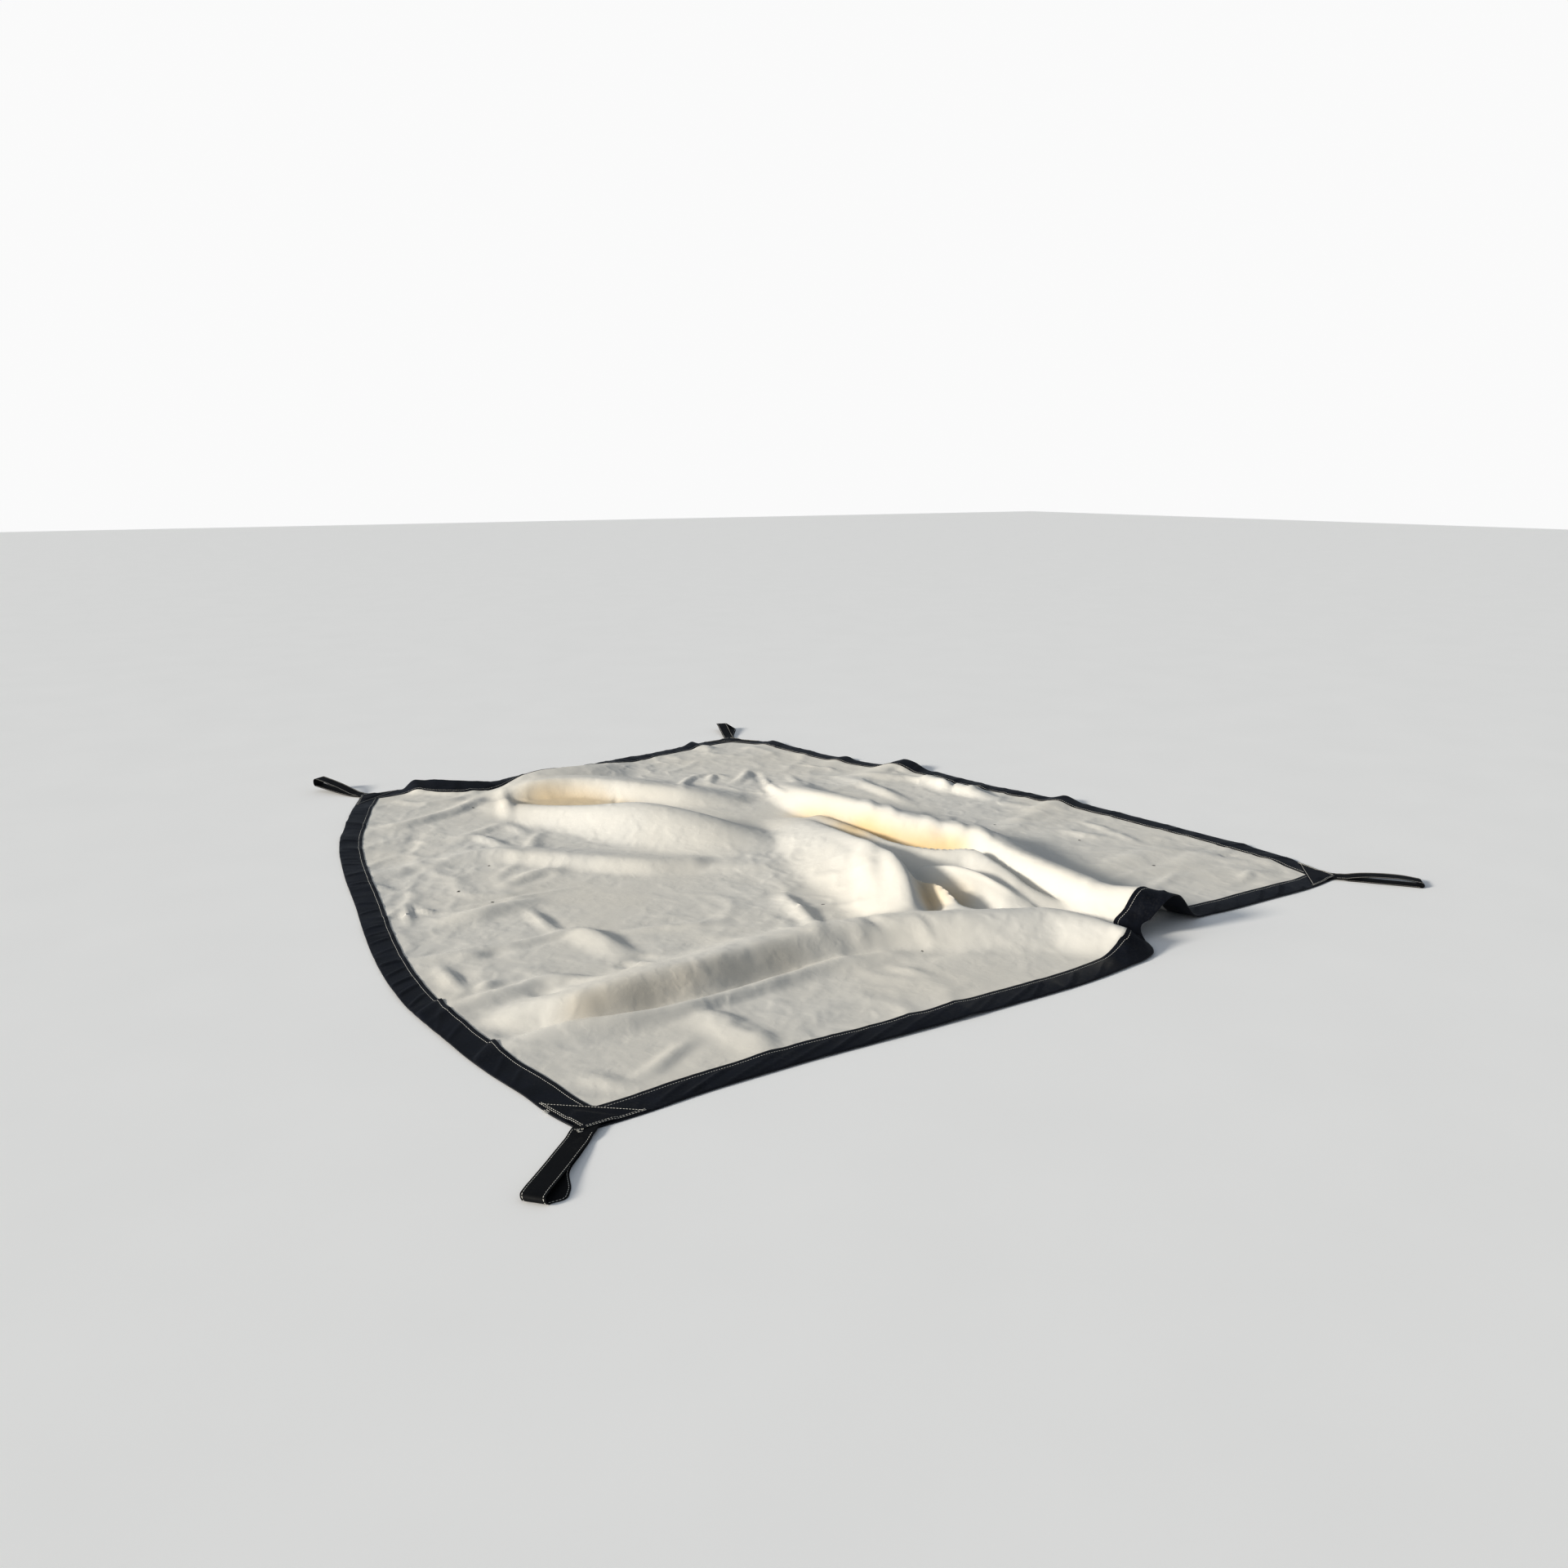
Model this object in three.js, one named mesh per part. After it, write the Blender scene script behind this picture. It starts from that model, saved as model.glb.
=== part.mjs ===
import * as THREE from "three";

// A near-square sheet of coated cloth lying in folds on the ground, in millimetres, z up.
// Tape is folded over its four edges, a patch covers each corner, and a strap loop comes
// out from under each patch. The corners are F at the front left, R at the front right,
// B at the back right and L at the back left.

const CLOTH = 1.5; // thickness of the cloth
const TAPE = 1.0; // thickness of the tape
const GAP = 0.3; // room between two pieces
const BAND = 75; // width of the tape on each face
const MITRE = 0.25; // each binding stops this much short of the mitre
const STRAP = 1.4; // thickness of the strap
const STRAP_WIDTH = 50;
const ROOT = 48; // length of strap tucked in under its patch
const TURN = 10; // length of the turn at the tip of a loop
const PATCH_LEG = 148; // length of a patch along each edge
const PATCH_INSET = 2; // a patch stands back from the edge by this
const PATCH_CELLS = 12;
const RISING = 58; // past the flat round a corner, the folds come up to their full height in this
const MEET = 4; // how sharply folds that cross keep their own crests
const CREST_STEPS = 36;
const SIDE_STEP = 0.03; // share of a side over which its direction is taken

// Heights of the layers at the edges, above the line that the cloth follows.
const UNDER_TAPE = TAPE + GAP;
const OVER_CLOTH = UNDER_TAPE + CLOTH + GAP;
const OVER_TAPE = OVER_CLOTH + TAPE;
const STRAP_LIFT = OVER_TAPE + GAP;
const PATCH_LIFT = 2 * (STRAP + GAP);

const COLOURS = { cloth: 0xc8c6bf, tape: 0x14161b, patch: 0x16181d, strap: 0x121418 };

function table(columns, rows) {
  const names = columns.split(" ");
  return rows.map((row) => Object.fromEntries(names.map((name, i) => [name, row[i]])));
}

const CORNERS = {
  F: new THREE.Vector2(-1300, -1417),
  R: new THREE.Vector2(1340, -1311),
  B: new THREE.Vector2(673, 1503),
  L: new THREE.Vector2(-1110, 1377),
};

// Round each corner the cloth lies flat as far as this.
const FLAT = { F: 152, R: 152, B: 180, L: 162 };

// Each edge runs between two corners and bows out from the straight line between them.
const EDGES = {
  front: {
    from: "F",
    to: "R",
    outward: -1,
    rows: table("share bow", [
      [0, 0],
      [0.05, 6],
      [0.1, 5],
      [0.15, 11],
      [0.21, 22],
      [0.28, 41],
      [0.35, 59],
      [0.42, 74],
      [0.52, 90],
      [0.58, 84],
      [0.61, 77],
      [0.628, 57],
      [0.638, 22],
      [0.646, -26],
      [0.66, -23],
      [0.69, -18],
      [0.75, -30],
      [0.8, -15],
      [0.86, -4],
      [0.95, 10],
      [1, 0],
    ]),
  },
  right: {
    from: "R",
    to: "B",
    outward: -1,
    rows: table("share bow", [
      [0, 0],
      [0.05, 62],
      [0.1, 100],
      [0.15, 126],
      [0.2, 138],
      [0.26, 155],
      [0.33, 167],
      [0.41, 168],
      [0.45, 158],
      [0.54, 156],
      [0.6, 165],
      [0.66, 156],
      [0.71, 104],
      [0.76, 88],
      [0.8, 78],
      [0.86, 88],
      [0.92, 84],
      [0.965, 48],
      [1, 0],
    ]),
  },
  back: {
    from: "L",
    to: "B",
    outward: 1,
    rows: table("share bow", [
      [0, 0],
      [0.045, -10],
      [0.09, -4],
      [0.14, -46],
      [0.175, -112],
      [0.22, -168],
      [0.27, -182],
      [0.31, -150],
      [0.38, -130],
      [0.47, -105],
      [0.57, -90],
      [0.7, -66],
      [0.85, -22],
      [0.93, 4],
      [1, 0],
    ]),
  },
  left: {
    from: "F",
    to: "L",
    outward: 1,
    rows: table("share bow", [
      [0, 0],
      [0.03, 36],
      [0.065, 64],
      [0.12, 114],
      [0.195, 166],
      [0.27, 208],
      [0.35, 224],
      [0.44, 223],
      [0.54, 210],
      [0.63, 203],
      [0.69, 193],
      [0.74, 181],
      [0.79, 160],
      [0.845, 123],
      [0.9, 84],
      [0.94, 53],
      [1, 0],
    ]),
  },
};

// Each fold is a row of sections along its crest. Going along it, the cloth comes down to
// the ground over one width on the right hand and over another on the left hand.
const SECTION = "x y height right left";
const FOLDS = {
  front_ridge: table(SECTION, [
    [-1270, -880, 12, 70, 90],
    [-1195, -895, 36, 82, 130],
    [-1125, -925, 54, 92, 160],
    [-1035, -935, 64, 96, 190],
    [-910, -930, 69, 98, 205],
    [-805, -940, 70, 98, 215],
    [-625, -920, 67, 98, 215],
    [-420, -920, 66, 98, 215],
    [-270, -940, 66, 100, 205],
    [-125, -980, 66, 124, 190],
    [0, -1040, 66, 150, 180],
    [125, -1100, 66, 170, 170],
    [230, -1165, 66, 170, 150],
    [278, -1265, 64, 140, 120],
    [304, -1355, 60, 75, 80],
  ]),
  front_ripple: table(SECTION, [
    [-1330, -1010, 4, 70, 60],
    [-1275, -1005, 12, 80, 60],
    [-1175, -1000, 22, 100, 48],
    [-1050, -1035, 21, 68, 45],
    [-925, -1050, 17, 48, 42],
    [-795, -1050, 15, 42, 40],
    [-600, -1040, 15, 48, 40],
    [-430, -1022, 15, 75, 40],
    [-290, -1045, 10, 70, 45],
    [-205, -1060, 4, 65, 50],
  ]),
  tall_ridge: table(SECTION, [
    [375, 515, 30, 120, 200],
    [340, 220, 76, 120, 220],
    [365, 40, 88, 125, 240],
    [415, -335, 98, 125, 260],
    [490, -545, 96, 110, 260],
    [455, -745, 94, 105, 240],
    [450, -980, 92, 115, 220],
    [435, -1175, 104, 140, 190],
    [475, -1260, 114, 130, 170],
    [525, -1320, 104, 115, 150],
    [570, -1410, 96, 115, 150],
  ]),
  dune: table(SECTION, [
    [170, 60, 30, 220, 110],
    [135, -85, 60, 240, 110],
    [100, -385, 84, 260, 110],
    [65, -620, 95, 250, 95],
    [15, -755, 90, 220, 85],
    [-60, -880, 66, 170, 75],
  ]),
  valley_lip: table(SECTION, [
    [235, 40, 40, 120, 90],
    [235, -220, 52, 130, 90],
    [235, -460, 58, 140, 80],
    [310, -590, 66, 150, 65],
    [365, -650, 74, 150, 60],
    [365, -770, 68, 150, 60],
    [330, -960, 52, 140, 60],
    [355, -1100, 30, 110, 70],
  ]),
  pocket: table(SECTION, [
    [90, -720, 44, 60, 60],
    [85, -825, 46, 60, 60],
    [80, -920, 24, 60, 60],
  ]),
  lobe: table(SECTION, [
    [185, -645, 54, 80, 60],
    [215, -745, 70, 90, 60],
    [245, -860, 64, 100, 70],
    [255, -975, 44, 100, 80],
    [255, -1060, 24, 90, 80],
  ]),
  back_ridge: table(SECTION, [
    [-580, 1050, 30, 80, 200],
    [-485, 1020, 56, 75, 280],
    [-365, 960, 64, 75, 320],
    [-255, 855, 66, 80, 320],
    [-140, 710, 62, 90, 280],
    [-5, 580, 48, 100, 240],
    [90, 520, 24, 100, 200],
  ]),
  slope_ridge: table(SECTION, [
    [-690, 905, 10, 110, 90],
    [-605, 735, 36, 125, 110],
    [-480, 510, 74, 145, 140],
    [-335, 354, 100, 225, 170],
    [-225, 210, 86, 240, 190],
    [-130, 80, 54, 225, 190],
    [-50, -30, 20, 190, 170],
    [10, -110, 4, 150, 150],
  ]),
  low_fold: table(SECTION, [
    [-1290, 355, 4, 60, 90],
    [-1090, 345, 11, 65, 110],
    [-920, 320, 22, 70, 140],
    [-705, 130, 32, 80, 160],
    [-600, 25, 34, 80, 165],
    [-495, -65, 32, 80, 165],
    [-400, -110, 20, 70, 150],
  ]),
  back_swell: table(SECTION, [
    [-520, 1225, 24, 200, 70],
    [-410, 1215, 44, 240, 100],
    [-300, 1215, 44, 250, 110],
    [-190, 1225, 36, 250, 110],
    [-70, 1270, 10, 200, 80],
  ]),
  standing_hem: table(SECTION, [
    [-1090, 1370, 4, 80, 80],
    [-1030, 1358, 22, 80, 80],
    [-950, 1368, 44, 85, 85],
    [-865, 1325, 43, 85, 85],
    [-757, 1245, 42, 85, 85],
    [-640, 1205, 26, 75, 75],
    [-585, 1240, 8, 60, 60],
  ]),
  right_bump: table(SECTION, [
    [1180, 570, 36, 75, 140],
    [1050, 580, 35, 75, 140],
    [900, 560, 20, 100, 130],
    [700, 500, 6, 120, 120],
  ]),
  right_ripple: table(SECTION, [
    [1300, -190, 18, 80, 90],
    [1180, -220, 14, 80, 90],
    [1020, -260, 4, 80, 90],
  ]),
  right_dimple: table(SECTION, [
    [940, 845, 12, 60, 60],
    [860, 830, 9, 60, 60],
    [780, 810, 2, 60, 60],
  ]),
  far_swell: table(SECTION, [
    [840, 1300, 9, 90, 90],
    [720, 1270, 6, 90, 90],
    [620, 1240, 2, 80, 80],
  ]),
  back_bump: table(SECTION, [
    [440, 1520, 15, 70, 70],
    [465, 1420, 13, 80, 80],
    [485, 1330, 3, 80, 80],
  ]),
  right_knoll: table(SECTION, [
    [1000, 330, 18, 60, 70],
    [985, 205, 28, 60, 80],
    [1005, 95, 28, 60, 80],
    [1030, -20, 8, 60, 70],
  ]),
};

// The loops lie out from the corners. Along each one, from its patch to where the tip turns,
// the lower layer strays to the left by the splay and leaves the ground by the lift, and the
// upper layer stands off the lower one by the rise.
const LOOP_ROW = "at splay lift rise";
const LOOPS = [
  {
    corner: "F",
    name: "front",
    heading: 225,
    rows: table(LOOP_ROW, [
      [6, 0, 0, 0],
      [70, 0, 0, 4],
      [130, 2, 0, 7],
      [185, 27, 0, 11],
      [210, 27, 0, 13],
      [226, 8, 0, 13],
    ]),
  },
  {
    corner: "R",
    name: "right",
    heading: 312,
    rows: table(LOOP_ROW, [
      [6, 0, 0, 0],
      [60, 0, 0, 12],
      [130, -2, 0, 18],
      [200, -4, 0, 17],
      [240, -6, 0, 12],
    ]),
  },
  {
    corner: "B",
    name: "back",
    heading: 71,
    rows: table(LOOP_ROW, [
      [6, 0, 0, 0],
      [60, -8, 0, 8],
      [130, -26, 0, 18],
      [190, -42, 0, 26],
      [228, -48, 0, 29],
    ]),
  },
  {
    corner: "L",
    name: "left",
    heading: 124,
    rows: table(LOOP_ROW, [
      [6, 0, 0, 0],
      [60, 0, 3, 12],
      [120, 0, 10, 22],
      [180, 0, 18, 27],
      [220, 0, 24, 28],
    ]),
  },
];

// Cells of the sheet across, from the left edge to the right one, and along, from front to back.
const ACROSS = table("until cells", [
  [0.09, 2],
  [0.115, 1],
  [0.25, 4],
  [0.45, 7],
  [0.6, 8],
  [0.72, 10],
  [0.91, 6],
  [1, 2],
]);
const ALONG = table("until cells", [
  [0.06, 2],
  [0.25, 12],
  [0.5, 10],
  [0.75, 12],
  [1, 13],
]);

function shares(spans) {
  const list = [0];
  let start = 0;
  for (const { until, cells } of spans) {
    for (let i = 1; i <= cells; i += 1) list.push(start + ((until - start) * i) / cells);
    start = until;
  }
  return list;
}

function ease(low, high, value) {
  const t = Math.min(Math.max((value - low) / (high - low), 0), 1);
  return t * t * (3 - 2 * t);
}

// A column's value between rows, carried smoothly through them.
function through(rows, key, column, at) {
  const last = rows.length - 1;
  const rate = (i) => (rows[i + 1][column] - rows[i][column]) / (rows[i + 1][key] - rows[i][key]);
  const slope = (i) => {
    if (i === 0) return rate(0);
    if (i === last) return rate(last - 1);
    const before = rows[i][key] - rows[i - 1][key];
    const after = rows[i + 1][key] - rows[i][key];
    return (before * rate(i) + after * rate(i - 1)) / (before + after);
  };
  let k = 0;
  while (k < last - 1 && rows[k + 1][key] <= at) k += 1;
  const step = rows[k + 1][key] - rows[k][key];
  const s = (at - rows[k][key]) / step;
  const a = rows[k][column] * (2 * s ** 3 - 3 * s ** 2 + 1);
  const b = rows[k + 1][column] * (3 * s ** 2 - 2 * s ** 3);
  const c = slope(k) * step * (s ** 3 - 2 * s ** 2 + s);
  const d = slope(k + 1) * step * (s ** 3 - s ** 2);
  return a + b + c + d;
}

// The crest of a fold as a smooth run of short steps.
function crestOf(rows) {
  let run = 0;
  const placed = rows.map((row, i) => {
    if (i > 0) run += Math.hypot(row.x - rows[i - 1].x, row.y - rows[i - 1].y);
    return { ...row, run };
  });
  const steps = [];
  for (let i = 0; i < CREST_STEPS; i += 1) {
    const at = (run * i) / (CREST_STEPS - 1);
    const step = {};
    for (const column of SECTION.split(" ")) step[column] = through(placed, "run", column, at);
    steps.push(step);
  }
  return steps;
}

const CRESTS = Object.values(FOLDS).map(crestOf);

function foldHeight(crest, x, y) {
  let top = 0;
  for (let i = 0; i + 1 < crest.length; i += 1) {
    const a = crest[i];
    const b = crest[i + 1];
    const dx = b.x - a.x;
    const dy = b.y - a.y;
    const length = Math.hypot(dx, dy);
    const share = ((x - a.x) * dx + (y - a.y) * dy) / length ** 2;
    const t = Math.min(Math.max(share, 0), 1);
    const ex = x - a.x - t * dx;
    const ey = y - a.y - t * dy;
    const away = Math.hypot(ex, ey);
    const hand = (dx * ey - dy * ex) / (length * Math.max(away, 1e-6));
    const mix = (column) => a[column] + (b[column] - a[column]) * t;
    const width = 0.5 * (mix("right") * (1 - hand) + mix("left") * (1 + hand));
    if (away < width) top = Math.max(top, mix("height") * 0.5 * (1 + Math.cos((Math.PI * away) / width)));
  }
  return top;
}

function heightAt(x, y) {
  let sum = 0;
  for (const crest of CRESTS) sum += foldHeight(crest, x, y) ** MEET;
  let height = sum ** (1 / MEET);
  for (const [name, corner] of Object.entries(CORNERS)) {
    const away = Math.hypot(x - corner.x, y - corner.y);
    height *= ease(FLAT[name], FLAT[name] + RISING, away);
  }
  return height;
}

// A place on the cloth with the direction straight out of it.
function placeOn(flat) {
  const step = 2;
  const slopeX = (heightAt(flat.x + step, flat.y) - heightAt(flat.x - step, flat.y)) / (2 * step);
  const slopeY = (heightAt(flat.x, flat.y + step) - heightAt(flat.x, flat.y - step)) / (2 * step);
  return {
    point: new THREE.Vector3(flat.x, flat.y, heightAt(flat.x, flat.y)),
    out: new THREE.Vector3(-slopeX, -slopeY, 1).normalize(),
  };
}

function lifted(place, lift) {
  return place.point.clone().addScaledVector(place.out, lift);
}

// Edges and the lines where the binding ends on the cloth.

function edgeLength(edge) {
  return CORNERS[edge.from].distanceTo(CORNERS[edge.to]);
}

function edgePoint(edge, share) {
  const from = CORNERS[edge.from];
  const along = CORNERS[edge.to].clone().sub(from);
  const aside = new THREE.Vector2(-along.y, along.x).normalize().multiplyScalar(edge.outward);
  const bow = through(edge.rows, "share", "bow", share);
  return from.clone().addScaledVector(along, share).addScaledVector(aside, bow);
}

function inwardAt(edge, share) {
  const after = edgePoint(edge, Math.min(share + SIDE_STEP, 1));
  const before = edgePoint(edge, Math.max(share - SIDE_STEP, 0));
  const run = after.sub(before).normalize();
  return new THREE.Vector2(run.y, -run.x).multiplyScalar(edge.outward);
}

const ENDS = {
  F: { next: EDGES.front, last: EDGES.left },
  R: { next: EDGES.right, last: EDGES.front },
  B: { next: EDGES.back, last: EDGES.right },
  L: { next: EDGES.left, last: EDGES.back },
};

// A point on an edge at a distance from one of its corners.
function fromCorner(edge, corner, distance) {
  const share = distance / edgeLength(edge);
  return edgePoint(edge, edge.from === corner ? share : 1 - share);
}

function mitreOf(name) {
  const corner = CORNERS[name];
  const [a, b] = ["next", "last"].map((key) =>
    fromCorner(ENDS[name][key], name, BAND).sub(corner).normalize(),
  );
  const sine = Math.abs(a.cross(b));
  const half = Math.asin(sine);
  const angle = a.dot(b) < 0 ? Math.PI - half : half;
  return {
    point: corner.clone().addScaledVector(a.clone().add(b), BAND / sine),
    along: BAND / Math.tan(angle / 2),
  };
}

const MITRES = Object.fromEntries(Object.keys(CORNERS).map((name) => [name, mitreOf(name)]));

function innerPoint(edge, share) {
  const length = edgeLength(edge);
  const start = MITRES[edge.from].along / length;
  const end = 1 - MITRES[edge.to].along / length;
  const raw = (s) => {
    const at = start + (end - start) * s;
    return edgePoint(edge, at).addScaledVector(inwardAt(edge, at), BAND);
  };
  const fade = (s) => Math.max(0, 1 - s / 0.1) ** 2;
  const startMiss = MITRES[edge.from].point.clone().sub(raw(0));
  const endMiss = MITRES[edge.to].point.clone().sub(raw(1));
  return raw(share).addScaledVector(startMiss, fade(share)).addScaledVector(endMiss, fade(1 - share));
}

// The four edges in order round the sheet, with the sections that cloth and binding share.
const U = shares(ACROSS);
const V = shares(ALONG);

function sectionsOf(edge, list) {
  return list.map((share) => ({
    outer: placeOn(edgePoint(edge, share)),
    inner: placeOn(innerPoint(edge, share)),
  }));
}

const ROUND = [
  { name: "front", sections: sectionsOf(EDGES.front, U) },
  { name: "right", sections: sectionsOf(EDGES.right, V) },
  { name: "back", sections: sectionsOf(EDGES.back, U).reverse() },
  { name: "left", sections: sectionsOf(EDGES.left, V).reverse() },
];

function acrossBand(section, inset, lift) {
  return lifted(section.outer, lift).lerp(lifted(section.inner, lift), inset / BAND);
}

// Closed skins of triangles.

class Skin {
  constructor() {
    this.points = [];
    this.faces = [];
  }

  add(point) {
    this.points.push(point.x, point.y, point.z);
    return this.points.length / 3 - 1;
  }

  triangle(a, b, c) {
    this.faces.push(a, b, c);
  }

  quad(a, b, c, d) {
    this.triangle(a, b, c);
    this.triangle(a, c, d);
  }

  mesh(name, colour, roughness) {
    const geometry = new THREE.BufferGeometry();
    geometry.setAttribute("position", new THREE.Float32BufferAttribute(this.points, 3));
    geometry.setIndex(this.faces);
    geometry.computeVertexNormals();
    const material = new THREE.MeshStandardMaterial({ color: colour, roughness });
    const mesh = new THREE.Mesh(geometry, material);
    mesh.name = name;
    return mesh;
  }
}

function clothMesh() {
  const skin = new Skin();
  const inner = (side, k) => ROUND[side].sections[k].inner;
  const lastU = U.length - 1;
  const lastV = V.length - 1;
  const flatOf = (place) => new THREE.Vector2(place.point.x, place.point.y);
  const front = U.map((u, i) => flatOf(inner(0, i)));
  const right = V.map((v, j) => flatOf(inner(1, j)));
  const back = U.map((u, i) => flatOf(inner(2, lastU - i)));
  const left = V.map((v, j) => flatOf(inner(3, lastV - j)));
  const low = [];
  const high = [];
  const places = [];
  U.forEach((u, i) => {
    low.push([]);
    high.push([]);
    places.push([]);
    V.forEach((v, j) => {
      const flat = new THREE.Vector2()
        .addScaledVector(front[i], 1 - v)
        .addScaledVector(back[i], v)
        .addScaledVector(left[j], 1 - u)
        .addScaledVector(right[j], u)
        .addScaledVector(front[0], -(1 - u) * (1 - v))
        .addScaledVector(front[lastU], -u * (1 - v))
        .addScaledVector(back[0], -(1 - u) * v)
        .addScaledVector(back[lastU], -u * v);
      const atBand = i === 0 || j === 0 || i === lastU || j === lastV;
      const lift = atBand ? UNDER_TAPE : 0;
      const place = placeOn(flat);
      places[i].push(place.point);
      low[i].push(skin.add(lifted(place, lift)));
      high[i].push(skin.add(lifted(place, lift + CLOTH)));
    });
  });
  for (let i = 0; i < lastU; i += 1) {
    for (let j = 0; j < lastV; j += 1) {
      const [a, b] = [places[i][j], places[i + 1][j]];
      const [c, d] = [places[i + 1][j + 1], places[i][j + 1]];
      const centre = heightAt((a.x + b.x + c.x + d.x) / 4, (a.y + b.y + c.y + d.y) / 4);
      if (Math.abs((a.z + c.z) / 2 - centre) <= Math.abs((b.z + d.z) / 2 - centre)) {
        skin.quad(high[i][j], high[i + 1][j], high[i + 1][j + 1], high[i][j + 1]);
        skin.quad(low[i][j], low[i][j + 1], low[i + 1][j + 1], low[i + 1][j]);
      } else {
        skin.quad(high[i + 1][j], high[i + 1][j + 1], high[i][j + 1], high[i][j]);
        skin.quad(low[i][j + 1], low[i + 1][j + 1], low[i + 1][j], low[i][j]);
      }
    }
  }
  const rim = [];
  ROUND.forEach((side, n) => {
    for (let k = 0; k + 1 < side.sections.length; k += 1) {
      const cell = [
        [k, 0],
        [lastU, k],
        [lastU - k, lastV],
        [0, lastV - k],
      ][n];
      rim.push({
        low: skin.add(acrossBand(side.sections[k], UNDER_TAPE, UNDER_TAPE)),
        high: skin.add(acrossBand(side.sections[k], UNDER_TAPE, UNDER_TAPE + CLOTH)),
        innerLow: low[cell[0]][cell[1]],
        innerHigh: high[cell[0]][cell[1]],
      });
    }
  });
  rim.forEach((a, k) => {
    const b = rim[(k + 1) % rim.length];
    skin.quad(a.high, b.high, b.innerHigh, a.innerHigh);
    skin.quad(a.low, a.innerLow, b.innerLow, b.low);
    skin.quad(a.low, b.low, b.high, a.high);
  });
  return skin.mesh("cloth", COLOURS.cloth, 0.55);
}

// A binding is a length of tape folded over one edge, from mitre to mitre.
function bindingMesh({ name, sections }) {
  const skin = new Skin();
  const profile = table("inset lift", [
    [0, 0],
    [BAND, 0],
    [BAND, TAPE],
    [TAPE, TAPE],
    [TAPE, OVER_CLOTH],
    [BAND, OVER_CLOTH],
    [BAND, OVER_TAPE],
    [0, OVER_TAPE],
  ]);
  const last = sections.length - 1;
  const rings = sections.map((section, k) => {
    const shift = new THREE.Vector3();
    if (k === 0) shift.subVectors(sections[1].outer.point, section.outer.point).setLength(MITRE);
    if (k === last) shift.subVectors(sections[last - 1].outer.point, section.outer.point).setLength(MITRE);
    return profile.map(({ inset, lift }) => skin.add(acrossBand(section, inset, lift).add(shift)));
  });
  for (let k = 0; k < last; k += 1) {
    profile.forEach((row, i) => {
      const n = (i + 1) % profile.length;
      const [a, b] = [rings[k], rings[k + 1]];
      const fromOuter = profile[i].inset <= profile[n].inset;
      if (fromOuter) skin.quad(a[i], a[n], b[n], b[i]);
      else {
        skin.triangle(a[i], a[n], b[i]);
        skin.triangle(a[n], b[n], b[i]);
      }
    });
  }
  const [start, end] = [rings[0], rings[last]];
  for (const [a, b, c, d] of [
    [0, 1, 2, 3],
    [0, 3, 4, 7],
    [4, 5, 6, 7],
  ]) {
    skin.quad(start[a], start[d], start[c], start[b]);
    skin.quad(end[a], end[b], end[c], end[d]);
  }
  return skin.mesh(`binding_${name}`, COLOURS.tape, 0.7);
}

// Directions along a loop and to the left of it.
function loopAxes(loop) {
  const turn = THREE.MathUtils.degToRad(loop.heading);
  return {
    ahead: new THREE.Vector2(Math.cos(turn), Math.sin(turn)),
    aside: new THREE.Vector2(-Math.sin(turn), Math.cos(turn)),
  };
}

// A patch is a triangle over the corner, raised where the strap runs in under it.
function patchMesh(loop) {
  const skin = new Skin();
  const corner = CORNERS[loop.corner];
  const { ahead, aside } = loopAxes(loop);
  const apex = corner.clone().lerp(MITRES[loop.corner].point, PATCH_INSET / BAND);
  const [a, b] = ["next", "last"].map((key) => {
    const edge = ENDS[loop.corner][key];
    const share = PATCH_LEG / edgeLength(edge);
    const inward = inwardAt(edge, edge.from === loop.corner ? share : 1 - share);
    return fromCorner(edge, loop.corner, PATCH_LEG).addScaledVector(inward, PATCH_INSET);
  });
  const low = [];
  const high = [];
  for (let i = 0; i <= PATCH_CELLS; i += 1) {
    low.push([]);
    high.push([]);
    for (let j = 0; i + j <= PATCH_CELLS; j += 1) {
      const flat = apex.clone();
      flat.addScaledVector(a.clone().sub(apex), i / PATCH_CELLS);
      flat.addScaledVector(b.clone().sub(apex), j / PATCH_CELLS);
      const from = flat.clone().sub(corner);
      const overStrap = 1 - ease(STRAP_WIDTH / 2 + 14, STRAP_WIDTH / 2 + 27, Math.abs(from.dot(aside)));
      const overRoot = 1 - ease(ROOT + 12, ROOT + 24, -from.dot(ahead));
      const z = STRAP_LIFT + PATCH_LIFT * overStrap * overRoot;
      low[i].push(skin.add(new THREE.Vector3(flat.x, flat.y, z)));
      high[i].push(skin.add(new THREE.Vector3(flat.x, flat.y, z + TAPE)));
    }
  }
  for (let i = 0; i < PATCH_CELLS; i += 1) {
    for (let j = 0; i + j < PATCH_CELLS; j += 1) {
      skin.triangle(high[i][j], high[i + 1][j], high[i][j + 1]);
      skin.triangle(low[i][j], low[i][j + 1], low[i + 1][j]);
      if (i + j + 1 < PATCH_CELLS) {
        skin.triangle(high[i + 1][j], high[i + 1][j + 1], high[i][j + 1]);
        skin.triangle(low[i + 1][j], low[i][j + 1], low[i + 1][j + 1]);
      }
    }
  }
  const rim = [];
  for (let i = 0; i < PATCH_CELLS; i += 1) rim.push([i, 0]);
  for (let i = 0; i < PATCH_CELLS; i += 1) rim.push([PATCH_CELLS - i, i]);
  for (let i = 0; i < PATCH_CELLS; i += 1) rim.push([0, PATCH_CELLS - i]);
  rim.forEach(([i, j], k) => {
    const [m, n] = rim[(k + 1) % rim.length];
    skin.quad(low[i][j], low[m][n], high[m][n], high[i][j]);
  });
  return skin.mesh(`patch_${loop.name}`, COLOURS.patch, 0.7);
}

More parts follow.
